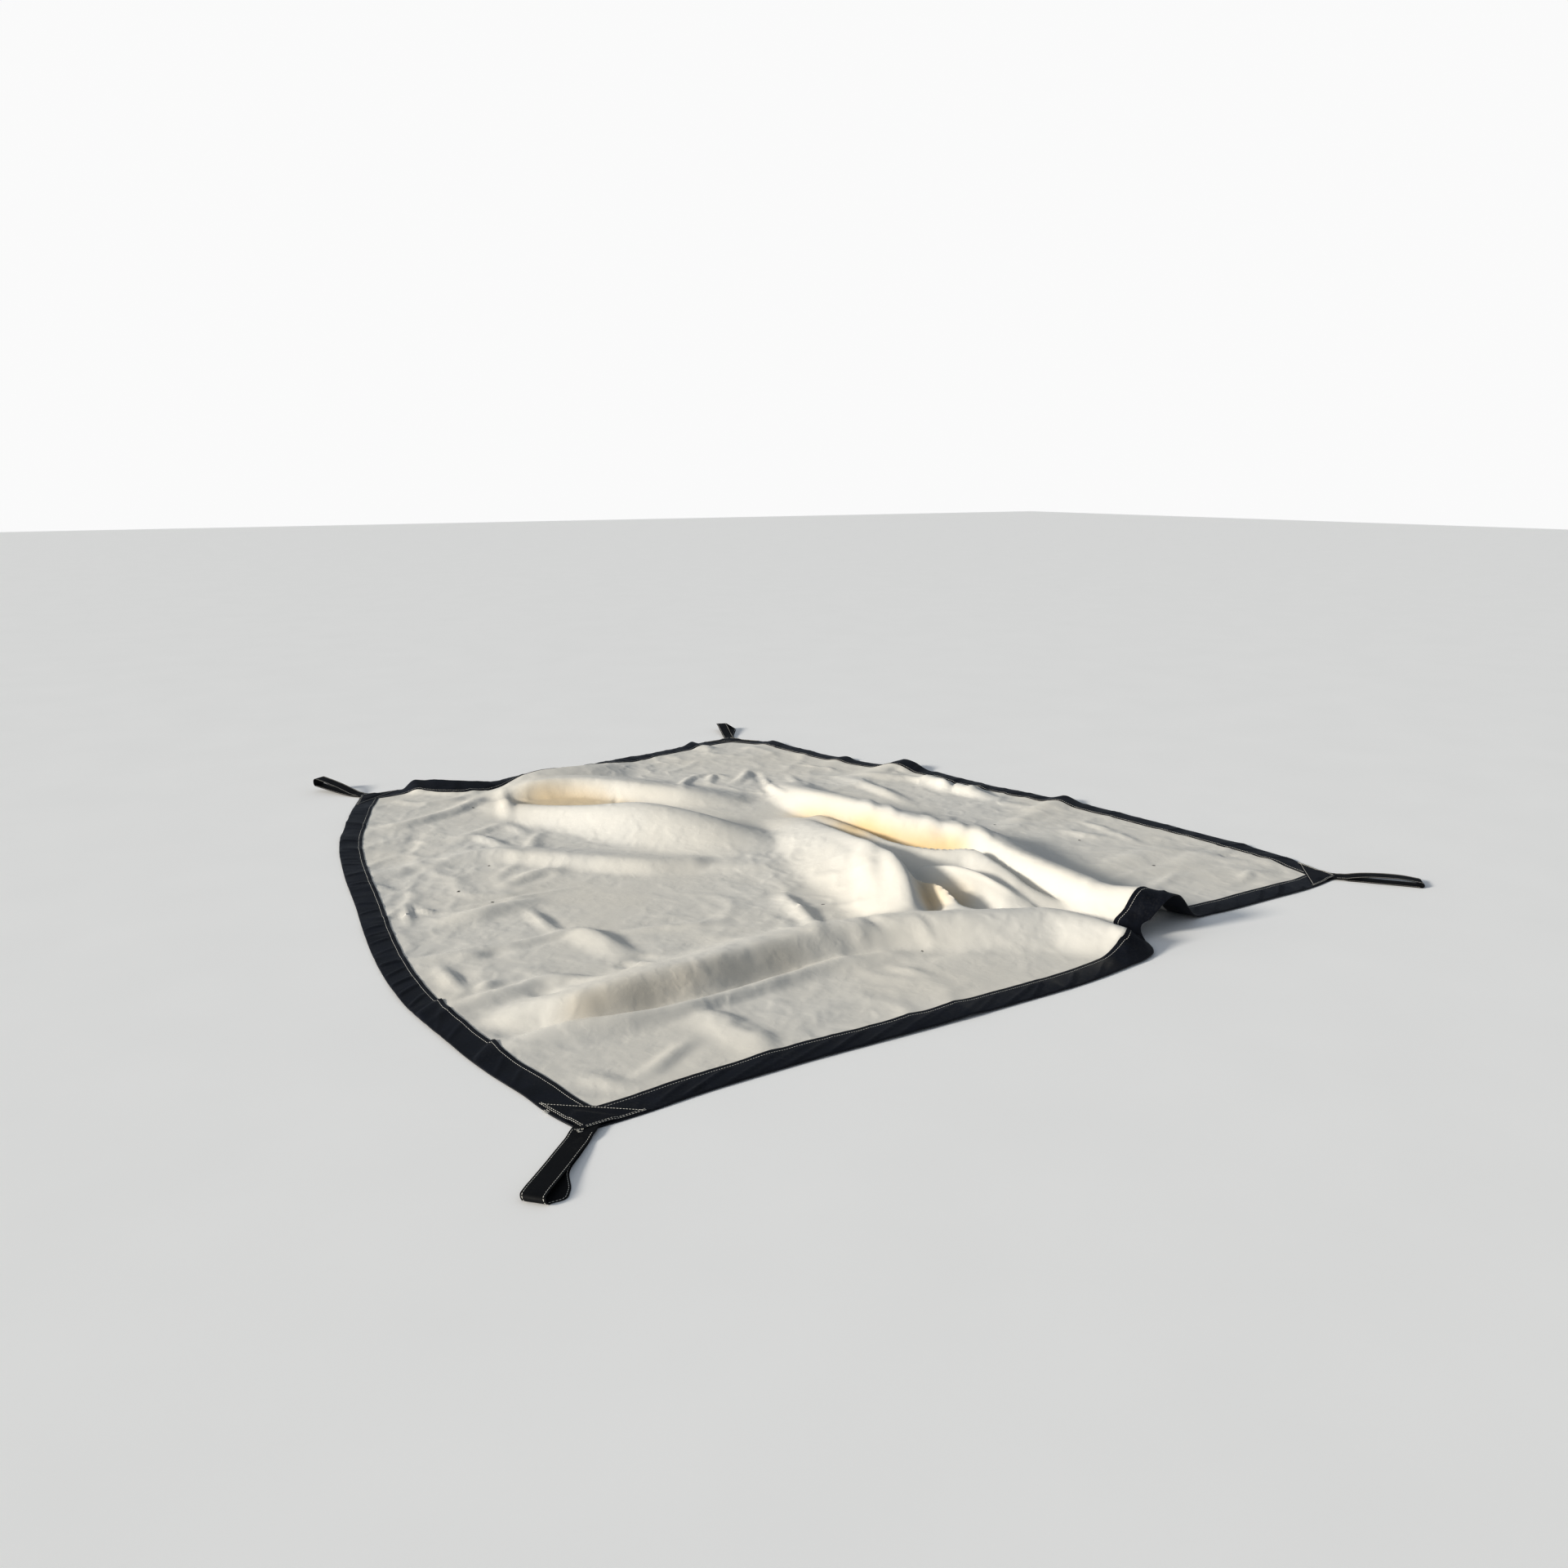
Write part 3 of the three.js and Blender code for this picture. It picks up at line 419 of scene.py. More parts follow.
# Small creases, above (+) or below (-) the folds.
# Rows: height, width to the right and left, and the points of the line.
CREASES = {
    "hem_ridge": (
        0.0084, 0.040, 0.040,
        (-1.032, 1.229), (-0.928, 1.109), (-0.833, 1.104), (-0.729, 1.140),
    ),
    "back_crease": (
        0.0140, 0.050, 0.060,
        (-1.170, 0.852), (-1.055, 0.864), (-0.922, 0.906), (-0.806, 0.977), (-0.694, 1.082),
    ),
    "left_dent": (-0.0063, 0.039, 0.039, (-1.142, 0.545), (-1.089, 0.653), (-1.043, 0.761)),
    "wavy_line": (
        0.0070, 0.040, 0.040,
        (-1.052, 0.597), (-0.920, 0.603), (-0.813, 0.653), (-0.750, 0.696),
    ),
    "blue_fold": (
        0.0112, 0.036, 0.040,
        (-0.974, 0.559), (-0.901, 0.569), (-0.859, 0.476), (-0.837, 0.383),
    ),
    "star_arm": (0.0080, 0.020, 0.050, (-0.756, 0.659), (-0.740, 0.577), (-0.734, 0.480)),
    "star_leg": (0.0110, 0.022, 0.055, (-0.734, 0.450), (-0.755, 0.385), (-0.785, 0.315)),
    "star_side": (0.0070, 0.018, 0.045, (-0.680, 0.504), (-0.705, 0.465), (-0.730, 0.430)),
    "star_hollow": (-0.0040, 0.032, 0.032, (-0.706, 0.712), (-0.693, 0.642), (-0.683, 0.564)),
    "back_knuckle": (0.0168, 0.048, 0.030, (-0.626, 1.057), (-0.653, 0.942), (-0.711, 0.732)),
    "hem_hollow": (-0.0070, 0.041, 0.046, (-0.634, 1.035), (-0.573, 0.996), (-0.513, 0.956)),
    "low_dent": (-0.0042, 0.025, 0.025, (-1.202, 0.309), (-1.171, 0.308), (-1.144, 0.308)),
    "left_trough": (-0.0049, 0.034, 0.034, (-1.268, 0.274), (-1.258, 0.188), (-1.249, 0.089)),
    "mid_bump": (
        0.0126, 0.046, 0.055,
        (-0.971, 0.026), (-0.883, 0.070), (-0.821, 0.087), (-0.754, 0.064),
    ),
    "packing_line": (
        -0.0060, 0.015, 0.015,
        (-1.142, -0.060), (-0.997, -0.069), (-0.887, -0.070), (-0.777, -0.078),
    ),
    "packing_lip": (
        0.0040, 0.018, 0.018,
        (-1.142, -0.086), (-0.997, -0.095), (-0.887, -0.096), (-0.777, -0.104),
    ),
    "packing_line_far": (
        -0.0060, 0.015, 0.015,
        (-0.777, -0.078), (-0.635, -0.112), (-0.459, -0.168),
    ),
    "low_fold_tail": (
        0.0120, 0.080, 0.160,
        (-0.400, -0.110), (-0.320, -0.160), (-0.220, -0.220), (-0.100, -0.270),
    ),
    "left_swell": (
        0.0168, 0.075, 0.060,
        (-1.219, -0.144), (-1.141, -0.163), (-1.052, -0.156), (-0.952, -0.146),
    ),
    "crinkle_post": (0.0098, 0.020, 0.016, (-1.275, 0.023), (-1.294, -0.059), (-1.304, -0.135)),
    "crinkle_dent": (-0.0056, 0.028, 0.028, (-1.284, -0.058), (-1.263, -0.078), (-1.246, -0.104)),
    "crinkle_tick": (0.0084, 0.018, 0.018, (-1.257, -0.036), (-1.238, -0.055), (-1.221, -0.082)),
    "crinkle_far": (-0.0035, 0.028, 0.028, (-1.231, -0.099), (-1.193, -0.137), (-1.157, -0.145)),
    "long_line": (
        0.0098, 0.042, 0.030,
        (-1.367, -0.402), (-1.276, -0.421), (-1.199, -0.424), (-1.081, -0.451), (-1.003, -0.445),
        (-0.928, -0.428),
    ),
    "line_dent_a": (-0.0049, 0.028, 0.023, (-1.322, -0.380), (-1.276, -0.369), (-1.232, -0.363)),
    "line_dent_b": (-0.0063, 0.039, 0.032, (-1.192, -0.480), (-1.170, -0.481), (-1.142, -0.479)),
    "line_dent_c": (-0.0063, 0.039, 0.034, (-1.094, -0.462), (-1.050, -0.470), (-1.009, -0.462)),
    "tan_bump": (0.0084, 0.026, 0.026, (-1.275, -0.454), (-1.229, -0.457), (-1.188, -0.469)),
    "left_cut": (-0.0030, 0.040, 0.036, (-1.271, -0.493), (-1.271, -0.566), (-1.279, -0.671)),
    "left_bank": (0.0098, 0.040, 0.024, (-1.319, -0.494), (-1.315, -0.568), (-1.310, -0.651)),
    "pale_spot": (0.0090, 0.034, 0.030, (-1.278, -0.682), (-1.248, -0.662), (-1.224, -0.660)),
    "spot_dent": (-0.0020, 0.034, 0.030, (-1.229, -0.674), (-1.203, -0.684), (-1.176, -0.707)),
    "second_line": (
        0.0126, 0.058, 0.040,
        (-1.366, -0.745), (-1.286, -0.732), (-1.205, -0.728), (-1.131, -0.712), (-1.047, -0.747),
        (-0.995, -0.826),
    ),
    "second_dent": (-0.0049, 0.034, 0.034, (-1.175, -0.763), (-1.143, -0.792), (-1.108, -0.813)),
    "hem_dent": (-0.0063, 0.041, 0.041, (-1.331, -0.862), (-1.291, -0.920), (-1.236, -0.954)),
    "dark_cut": (-0.0077, 0.030, 0.025, (-0.938, -0.219), (-0.940, -0.318), (-0.934, -0.418)),
    "cut_bank": (0.0112, 0.040, 0.022, (-0.972, -0.214), (-0.971, -0.307), (-0.966, -0.412)),
    "knoll": (
        0.0180, 0.095, 0.034,
        (-0.923, -0.439), (-0.897, -0.483), (-0.879, -0.557), (-0.856, -0.670),
    ),
    "knoll_foot": (-0.0063, 0.030, 0.030, (-0.885, -0.691), (-0.846, -0.709), (-0.808, -0.742)),
    "knoll_pit": (-0.0056, 0.021, 0.021, (-0.903, -0.730), (-0.895, -0.755)),
    "knoll_end": (0.0112, 0.024, 0.024, (-0.904, -0.786), (-0.869, -0.770), (-0.855, -0.812)),
    "field_line": (
        -0.0042, 0.034, 0.034,
        (-0.779, -0.500), (-0.710, -0.507), (-0.612, -0.523), (-0.510, -0.556),
    ),
    "field_line_low": (
        0.0070, 0.034, 0.034,
        (-0.803, -0.521), (-0.726, -0.541), (-0.618, -0.586), (-0.520, -0.603),
    ),
    "corner_crease": (
        0.0160, 0.044, 0.026,
        (-0.270, -0.506), (-0.288, -0.610), (-0.305, -0.708), (-0.415, -0.928),
    ),
    "corner_dent": (-0.0035, 0.034, 0.028, (-0.376, -0.617), (-0.363, -0.656), (-0.348, -0.696)),
    "brow_dent": (-0.0080, 0.030, 0.030, (-0.199, -0.853), (-0.240, -0.962), (-0.214, -0.979)),
    "front_knoll": (
        0.0120, 0.105, 0.040,
        (-0.879, -1.067), (-0.834, -1.124), (-0.816, -1.190), (-0.801, -1.252), (-0.815, -1.326),
    ),
    "front_nick": (-0.0056, 0.030, 0.030, (-0.811, -1.193), (-0.799, -1.234)),
    "front_crease": (
        0.0060, 0.034, 0.034,
        (-1.128, -1.288), (-1.059, -1.257), (-0.992, -1.220), (-0.934, -1.197),
    ),
    "front_hollow": (-0.0030, 0.034, 0.034, (-0.947, -1.221), (-0.990, -1.257), (-1.044, -1.291)),
    "front_streak": (-0.0035, 0.030, 0.030, (-0.660, -1.292), (-0.595, -1.293), (-0.525, -1.302)),
    "front_pale": (0.0060, 0.034, 0.034, (-0.311, -1.118), (-0.284, -1.159), (-0.259, -1.216)),
    "front_bump": (0.0098, 0.060, 0.050, (-1.217, -1.224), (-1.187, -1.276), (-1.160, -1.324)),
    "front_pale_far": (0.0060, 0.040, 0.036, (-0.175, -1.147), (-0.080, -1.169), (0.007, -1.202)),
    "ridge_tick_a": (-0.0040, 0.016, 0.016, (-0.257, 0.763), (-0.332, 0.657)),
    "back_curl_a": (0.0090, 0.028, 0.028, (-0.037, 0.618), (0.157, 0.908), (0.257, 0.945)),
    "back_curl_b": (0.0090, 0.028, 0.028, (0.159, 0.764), (0.266, 0.889), (0.288, 0.826)),
    "back_flash": (0.0120, 0.036, 0.030, (0.247, 0.725), (0.329, 0.785), (0.444, 0.913)),
    "back_slot": (-0.0120, 0.030, 0.030, (0.426, 0.839), (0.365, 0.682), (0.290, 0.479)),
    "back_blade": (0.0100, 0.026, 0.022, (0.442, 0.796), (0.338, 0.559), (0.303, 0.400)),
    "back_pale": (0.0070, 0.036, 0.030, (0.538, 0.736), (0.504, 0.643), (0.451, 0.510)),
    "spark_a": (0.0060, 0.020, 0.020, (0.667, 0.879), (0.703, 0.821), (0.730, 0.769)),
    "spark_b": (0.0070, 0.022, 0.020, (0.706, 0.732), (0.747, 0.741), (0.738, 0.678)),
    "wing_upper": (
        0.0140, 0.060, 0.040,
        (0.751, 0.585), (0.852, 0.484), (0.957, 0.392), (0.956, 0.228), (0.956, 0.113),
    ),
    "wing_lower": (
        0.0140, 0.050, 0.060,
        (0.691, 0.559), (0.714, 0.413), (0.711, 0.240), (0.700, 0.119),
    ),
    "hem_hump_dent": (-0.0080, 0.026, 0.026, (0.913, 0.507), (0.959, 0.521), (0.963, 0.491)),
    "hem_pale_a": (0.0080, 0.030, 0.022, (0.992, 0.272), (0.960, 0.202), (0.956, 0.154)),
    "hem_slot": (-0.0090, 0.018, 0.018, (1.097, 0.289), (0.967, 0.157), (0.941, 0.125)),
    "hem_pale_b": (0.0080, 0.036, 0.030, (0.973, 0.133), (0.991, 0.094), (1.134, 0.186)),
    "hem_shadow": (-0.0080, 0.030, 0.026, (0.938, 0.112), (0.955, 0.071), (0.980, 0.041)),
    "wedge": (0.0100, 0.062, 0.050, (0.831, -0.314), (0.956, -0.294), (1.064, -0.287)),
    "wedge_low": (0.0080, 0.050, 0.044, (0.712, -0.347), (0.840, -0.356), (0.936, -0.392)),
    "right_wave_a": (0.0060, 0.040, 0.040, (0.847, -0.055), (1.002, -0.071), (1.062, -0.201)),
    "right_wave_b": (0.0070, 0.046, 0.040, (0.978, -0.191), (1.074, -0.224), (1.167, -0.227)),
    "tan_patch": (0.0090, 0.044, 0.050, (0.952, -0.485), (0.968, -0.565), (1.014, -0.616)),
    "tan_line": (0.0070, 0.030, 0.030, (1.085, -0.437), (1.096, -0.516), (1.096, -0.587)),
    "pale_line": (0.0060, 0.034, 0.030, (1.078, -0.564), (1.081, -0.647), (1.071, -0.730)),
    "warm_bank": (
        0.0090, 0.100, 0.060,
        (0.792, -0.844), (0.949, -0.823), (1.079, -0.853), (1.189, -0.900),
    ),
    "warm_bank_far": (0.0080, 0.090, 0.050, (0.989, -0.948), (1.138, -0.941), (1.252, -0.972)),
    "right_line_a": (
        0.0050, 0.044, 0.040,
        (0.409, -1.107), (0.772, -0.946), (0.922, -0.964), (1.091, -1.012),
    ),
    "right_line_b": (
        0.0050, 0.044, 0.040,
        (0.742, -1.053), (0.881, -1.051), (1.045, -1.079), (1.164, -1.115),
    ),
    "right_line_c": (0.0050, 0.030, 0.030, (0.743, -1.071), (0.864, -1.040), (0.959, -1.007)),
    "hem_blue": (-0.0070, 0.026, 0.026, (1.206, -0.900), (1.257, -0.901), (1.302, -0.907)),
    "hem_knot": (-0.0070, 0.020, 0.020, (1.204, -0.982), (1.240, -0.995)),
    "corner_dark_a": (-0.0100, 0.026, 0.026, (0.999, -1.196), (1.049, -1.201), (1.126, -1.186)),
    "corner_pale": (0.0080, 0.026, 0.024, (1.059, -1.162), (1.145, -1.142), (1.186, -1.167)),
    "corner_dark_b": (-0.0060, 0.022, 0.022, (1.091, -1.200), (1.167, -1.211), (1.249, -1.207)),
    "scallop_a": (0.0050, 0.044, 0.034, (0.582, 0.220), (0.358, -0.106)),
    "scallop_b": (0.0050, 0.044, 0.034, (0.606, 0.122), (0.373, -0.214)),
    "scallop_c": (0.0060, 0.050, 0.036, (0.650, -0.038), (0.407, -0.400)),
    "scallop_d": (0.0060, 0.050, 0.036, (0.700, -0.133), (0.446, -0.501)),
    "scallop_e": (0.0060, 0.052, 0.038, (0.712, -0.276), (0.444, -0.627)),
    "face_fold_a": (0.0025, 0.044, 0.040, (-0.903, -0.941), (-0.903, -0.968), (-0.898, -0.993)),
    "face_fold_b": (0.0025, 0.044, 0.040, (-0.846, -0.945), (-0.843, -0.974), (-0.841, -0.994)),
    "face_fold_c": (0.0025, 0.044, 0.040, (-1.128, -0.933), (-1.108, -0.963), (-1.088, -0.984)),
    "face_fold_d": (0.0060, 0.034, 0.030, (-0.307, -0.948), (-0.307, -0.979), (-0.309, -1.006)),
    "face_fold_e": (0.0060, 0.034, 0.030, (-0.136, -0.990), (-0.136, -1.033), (-0.139, -1.068)),
    "lobe_soft": (0.0070, 0.040, 0.040, (0.185, -0.825), (0.176, -0.874), (0.156, -0.920)),
    "ripple_rim": (
        0.0070, 0.030, 0.040,
        (-1.175, -1.004), (-1.050, -1.038), (-0.925, -1.053), (-0.795, -1.053), (-0.600, -1.043),
        (-0.430, -1.025),
    ),
    "dune_rim": (
        0.0100, 0.060, 0.018,
        (0.120, -0.200), (0.100, -0.385), (0.065, -0.620), (0.015, -0.755), (-0.060, -0.880),
    ),
    "lip_rim": (
        0.0080, 0.050, 0.018,
        (0.235, -0.220), (0.235, -0.460), (0.310, -0.590), (0.365, -0.650), (0.365, -0.770),
    ),
    "pocket_rim": (
        0.0300, 0.060, 0.022,
        (0.078, -0.770), (0.072, -0.850), (0.064, -0.930), (0.058, -0.990),
    ),
    "lobe_rim": (
        0.0080, 0.020, 0.050,
        (0.190, -0.660), (0.215, -0.745), (0.245, -0.860), (0.255, -0.975),
    ),
    "dune_soft": (0.0100, 0.060, 0.050, (0.140, -0.386), (-0.020, -0.614), (-0.103, -0.754)),
    "dune_soft_far": (0.0080, 0.060, 0.050, (0.165, -0.481), (-0.004, -0.733), (-0.048, -0.815)),
}

# Cross wrinkles in the tape. Rows: share of the edge, slant, height, width.
WRINKLES = {
    "left": [
        (0.950, 0.30, 0.0015, 0.014),
        (0.905, 0.25, 0.0019, 0.014),
        (0.841, 0.00, 0.0019, 0.016),
        (0.784, 0.12, 0.0044, 0.018),
        (0.750, -0.20, 0.0025, 0.014),
        (0.710, -0.10, 0.0028, 0.013),
        (0.687, -0.10, 0.0022, 0.012),
        (0.641, 0.20, 0.0028, 0.015),
        (0.607, 0.10, 0.0040, 0.020),
        (0.543, -0.30, 0.0040, 0.018),
        (0.507, 0.40, 0.0028, 0.015),
        (0.458, 0.40, 0.0030, 0.014),
        (0.439, 0.30, 0.0028, 0.012),
        (0.418, 0.35, 0.0030, 0.014),
        (0.387, 0.45, 0.0022, 0.014),
        (0.361, -0.10, 0.0048, 0.018),
        (0.331, 0.45, 0.0036, 0.015),
        (0.308, 0.25, 0.0045, 0.016),
        (0.284, 0.40, 0.0033, 0.016),
        (0.256, 0.60, 0.0036, 0.014),
        (0.198, 1.40, 0.0024, 0.018),
        (0.179, 0.45, 0.0024, 0.018),
        (0.105, 0.40, 0.0018, 0.018),
        (0.083, 0.25, 0.0018, 0.016),
    ],
}
# The other edges are sewn more smoothly: wrinkles in each, slant from and to, height, width.
SMOOTHER = {
    "front": (30, 1.2, 2.6, 0.0036, 0.024),
    "right": (26, -0.6, 0.8, 0.0026, 0.022),
    "back": (22, -0.8, 0.6, 0.0026, 0.022),
}
# Step pleats in the tape, where it doubles over. Rows: share of the edge, slant, height, width.
PLEATS = {
    "left": [(0.238, 0.25, 0.0050, 0.060), (0.135, 0.20, 0.0050, 0.060)],
}

# The loops. Rows: distance from the corner, then the lower layer's stray to the left and its
# lift off the ground, and how far the upper layer stands off it.
LOOPS = {
    "front": {
        "corner": "F",
        "heading": 225,
        "rows": [
            (0.006, 0.000, 0.000, 0.000),
            (0.070, 0.000, 0.000, 0.004),
            (0.130, 0.002, 0.000, 0.007),
            (0.185, 0.027, 0.000, 0.011),
            (0.210, 0.027, 0.000, 0.013),
            (0.226, 0.008, 0.000, 0.013),
        ],
    },
    "right": {
        "corner": "R",
        "heading": 312,
        "rows": [
            (0.006, 0.000, 0.000, 0.000),
            (0.060, 0.000, 0.000, 0.012),
            (0.130, -0.002, 0.000, 0.018),
            (0.200, -0.004, 0.000, 0.017),
            (0.240, -0.006, 0.000, 0.012),
        ],
    },
    "back": {
        "corner": "B",
        "heading": 71,
        "rows": [
            (0.006, 0.000, 0.000, 0.000),
            (0.060, -0.008, 0.000, 0.008),
            (0.130, -0.026, 0.000, 0.018),
            (0.190, -0.042, 0.000, 0.026),
            (0.228, -0.048, 0.000, 0.029),
        ],
    },
    "left": {
        "corner": "L",
        "heading": 124,
        "rows": [
            (0.006, 0.000, 0.000, 0.000),
            (0.060, 0.000, 0.003, 0.012),
            (0.120, 0.000, 0.010, 0.022),
            (0.180, 0.000, 0.018, 0.027),
            (0.220, 0.000, 0.024, 0.028),
        ],
    },
}

# Dark specks on the cloth. Rows: x, y, size.
SPECKS = [
    (-0.786, 0.945, 0.012),
    (-0.949, 0.245, 0.010),
    (-1.108, 0.052, 0.012),
    (-1.049, -0.093, 0.010),
    (-1.022, -0.433, 0.010),
    (-1.078, -0.752, 0.010),
    (-0.209, -0.642, 0.012),
    (-0.180, -1.080, 0.010),
    (0.797, -0.288, 0.010),
    (0.918, -0.597, 0.010),
    (0.924, -0.925, 0.012),
]

# Hollows between folds that get painted warm shade. Rows: x, y, reach, strength.
WARM_SHADE_SPOTS = [
    (-0.420, 0.860, 0.320, 0.70),
    (-0.220, 0.600, 0.280, 0.60),
    (0.320, 0.080, 0.240, 0.60),
    (0.345, -0.200, 0.260, 1.00),
    (0.395, -0.420, 0.200, 1.00),
    (0.080, -0.820, 0.140, 0.70),
]
# Painted warm shade, a tan, on the shaded face of the front ridge. Rows: x, y, reach along and
# across the face, strength.
WARM_FACE_SHADE = [
    (-1.090, -0.970, 0.110, 0.050, 0.28),
    (-0.970, -0.975, 0.120, 0.050, 0.26),
    (-0.850, -0.975, 0.130, 0.050, 0.22),
    (-0.720, -0.970, 0.140, 0.050, 0.20),
    (-0.580, -0.965, 0.150, 0.050, 0.16),
]

# Shapes that the cloth follows.


def ease(low, high, value):
    t = np.clip((value - low) / (high - low), 0, 1)
    return t * t * (3 - 2 * t)


def unit(vectors):
    return vectors / np.linalg.norm(vectors, axis=-1, keepdims=True)


def lengths(points):
    """Length of a line from its start to each of its points."""
    return np.concatenate(([0], np.cumsum(np.linalg.norm(np.diff(points, axis=0), axis=1))))


def shares(spans):
    """Shares from 0 to 1, in the cells that the spans give."""
    parts, start = [np.zeros(1)], 0.0
    for until, cells in spans:
        parts.append(np.linspace(start, until, cells + 1)[1:])
        start = until
    return np.concatenate(parts)


def through(rows, at):
    """The columns after the first, carried smoothly through the rows."""
    rows = np.asarray(rows, float)
    key, columns = rows[:, 0], rows[:, 1:]
    step = np.diff(key)
    rate = np.diff(columns, axis=0) / step[:, None]
    slope = np.empty_like(columns)
    slope[0], slope[-1] = rate[0], rate[-1]
    before, after = step[:-1, None], step[1:, None]
    slope[1:-1] = (before * rate[1:] + after * rate[:-1]) / (before + after)
    at = np.atleast_1d(np.asarray(at, float))
    k = np.clip(np.searchsorted(key, at, side="right") - 1, 0, len(step) - 1)
    wide = step[k][:, None]
    s = (at - key[k])[:, None] / wide
    first = columns[k] * (2 * s**3 - 3 * s**2 + 1) + columns[k + 1] * (3 * s**2 - 2 * s**3)
    return first + slope[k] * wide * (s**3 - 2 * s**2 + s) + slope[k + 1] * wide * (s**3 - s**2)


def crest_of(rows, steps):
    """The crest of a fold as a smooth run of short steps."""
    rows = np.asarray(rows, float)
    run = lengths(rows[:, :2])
    return through(np.column_stack((run, rows)), np.linspace(0, run[-1], steps))


def crease_rows(height, right, left, *line):
    """A crease as the rows of a fold, lower at both ends."""
    last = len(line) - 1
    ends = (0, last) if last > 1 else ()
    return [
        (*spot, height * (CREASE_END if k in ends else 1), right, left)
        for k, spot in enumerate(line)
    ]


FOLD_CRESTS = [crest_of(rows, CREST_STEPS) for rows in FOLDS.values()]
CREASE_CRESTS = [crest_of(crease_rows(*crease), CREASE_STEPS) for crease in CREASES.values()]


def fold_height(crest, spots):
    """Height of one fold at each spot, which falls to nothing at its width."""
    reach = crest[:, 3:].max()
    inside = (spots > crest[:, :2].min(0) - reach) & (spots < crest[:, :2].max(0) + reach)
    near = np.flatnonzero(inside.all(axis=1))
    here = spots[near]
    best = np.zeros(len(near))
    for a, b in zip(crest[:-1], crest[1:]):
        along = b[:2] - a[:2]
        length = np.hypot(*along)
        t = np.clip((here - a[:2]) @ along / length**2, 0, 1)
        aside = here - a[:2] - t[:, None] * along
        away = np.hypot(aside[:, 0], aside[:, 1])
        turned = along[0] * aside[:, 1] - along[1] * aside[:, 0]
        hand = turned / (length * np.maximum(away, TINY))
        height, right, left = (a[2:] + (b[2:] - a[2:]) * t[:, None]).T
        width = 0.5 * (right * (1 - hand) + left * (1 + hand))
        rise = np.where(away < width, height * 0.5 * (1 + np.cos(np.pi * away / width)), 0)
        best = np.where(np.abs(rise) > np.abs(best), rise, best)
    top = np.zeros(len(spots))
    top[near] = best
    return top


def waves(spots, scale, layer):
    return np.array([noise.noise(Vector((scale * x, scale * y, layer))) for x, y in spots])


def slack(spots):
    """The soft unevenness and small creases of cloth that lies loose on the ground."""
    broad = np.maximum(SWELL * waves(spots, *SWELL_WAVES) + SWELL_MEAN, 0) + SWELL_LEAST
    gathered = np.clip(GATHER_MEAN + GATHER * waves(spots, *GATHER_WAVES), GATHER_LEAST, 1)
    crumpled = sum(
        height * np.clip(1 - sharpness * np.abs(waves(spots, scale, layer)), 0, 1) ** 2
        for height, sharpness, scale, layer in CRUMPLES
    )
    return broad + gathered * crumpled


def height_at(spots):
    folds = sum(fold_height(crest, spots) ** MEET for crest in FOLD_CRESTS) ** (1 / MEET)
    loose = 1 - TAUT_LOSS * ease(*TAUT, folds)
    creases = sum(fold_height(crest, spots) for crest in CREASE_CRESTS)
    height = np.maximum(folds + slack(spots) * loose + creases, 0)
    for name, corner in CORNERS.items():
        away = np.hypot(*(spots - corner).T)
        height = height * ease(FLAT[name], FLAT[name] + RISING, away)
    return height


def place_on(spots):
    """Points on the cloth, with the direction straight out of it at each."""
    step = SLOPE_STEP
    shifts = np.array(((0, 0), (step, 0), (-step, 0), (0, step), (0, -step)))
    heights = height_at((spots[None] + shifts[:, None]).reshape(-1, 2)).reshape(5, -1)
    slope_x = (heights[1] - heights[2]) / (2 * step)
    slope_y = (heights[3] - heights[4]) / (2 * step)
    out = unit(np.column_stack((-slope_x, -slope_y, np.ones(len(spots)))))
    return np.column_stack((spots, heights[0])), out


# Edges, and the lines where the tape ends on the cloth.


def edge_length(side):
    start, end = EDGES[side]["ends"]
    return np.linalg.norm(CORNERS[end] - CORNERS[start])


def edge_points(side, share):
    edge = EDGES[side]
    start, end = (CORNERS[name] for name in edge["ends"])
    along = end - start
    aside = edge["outward"] * unit(np.array((-along[1], along[0])))
    return start + share[:, None] * along + through(edge["bow"], share) * aside


def inward_at(side, share):
    after = edge_points(side, np.minimum(share + SIDE_STEP, 1))
    before = edge_points(side, np.maximum(share - SIDE_STEP, 0))
    run = unit(after - before)
    return EDGES[side]["outward"] * np.column_stack((run[:, 1], -run[:, 0]))


def share_from(side, corner, distance):
    share = distance / edge_length(side)
    return np.array([share if EDGES[side]["ends"][0] == corner else 1 - share])


def mitre_of(name):
    """Where the inner lines of two tapes meet, and how far along the edge that is."""
    corner = CORNERS[name]
    a, b = (
        unit(edge_points(side, share_from(side, name, BAND))[0] - corner)
        for side in MEETING[name]
    )
    sine = abs(a[0] * b[1] - a[1] * b[0])
    angle = math.pi - math.asin(sine) if a @ b < 0 else math.asin(sine)
    return corner + (a + b) * BAND / sine, BAND / math.tan(angle / 2)


MITRES = {name: mitre_of(name) for name in CORNERS}


def inner_points(side, share):
    (first, first_run), (last, last_run) = (MITRES[name] for name in EDGES[side]["ends"])
    length = edge_length(side)

    def raw(s):
        at = first_run / length + (1 - (first_run + last_run) / length) * s
        return edge_points(side, at) + BAND * inward_at(side, at)

    def fade(s):
        return np.maximum(0, 1 - s / MITRE_FADE)[:, None] ** 2

    first_miss = first - raw(np.zeros(1))
    last_miss = last - raw(np.ones(1))
    return raw(share) + first_miss * fade(share) + last_miss * fade(1 - share)


def sections_of(side, share):
    return place_on(edge_points(side, share)), place_on(inner_points(side, share))


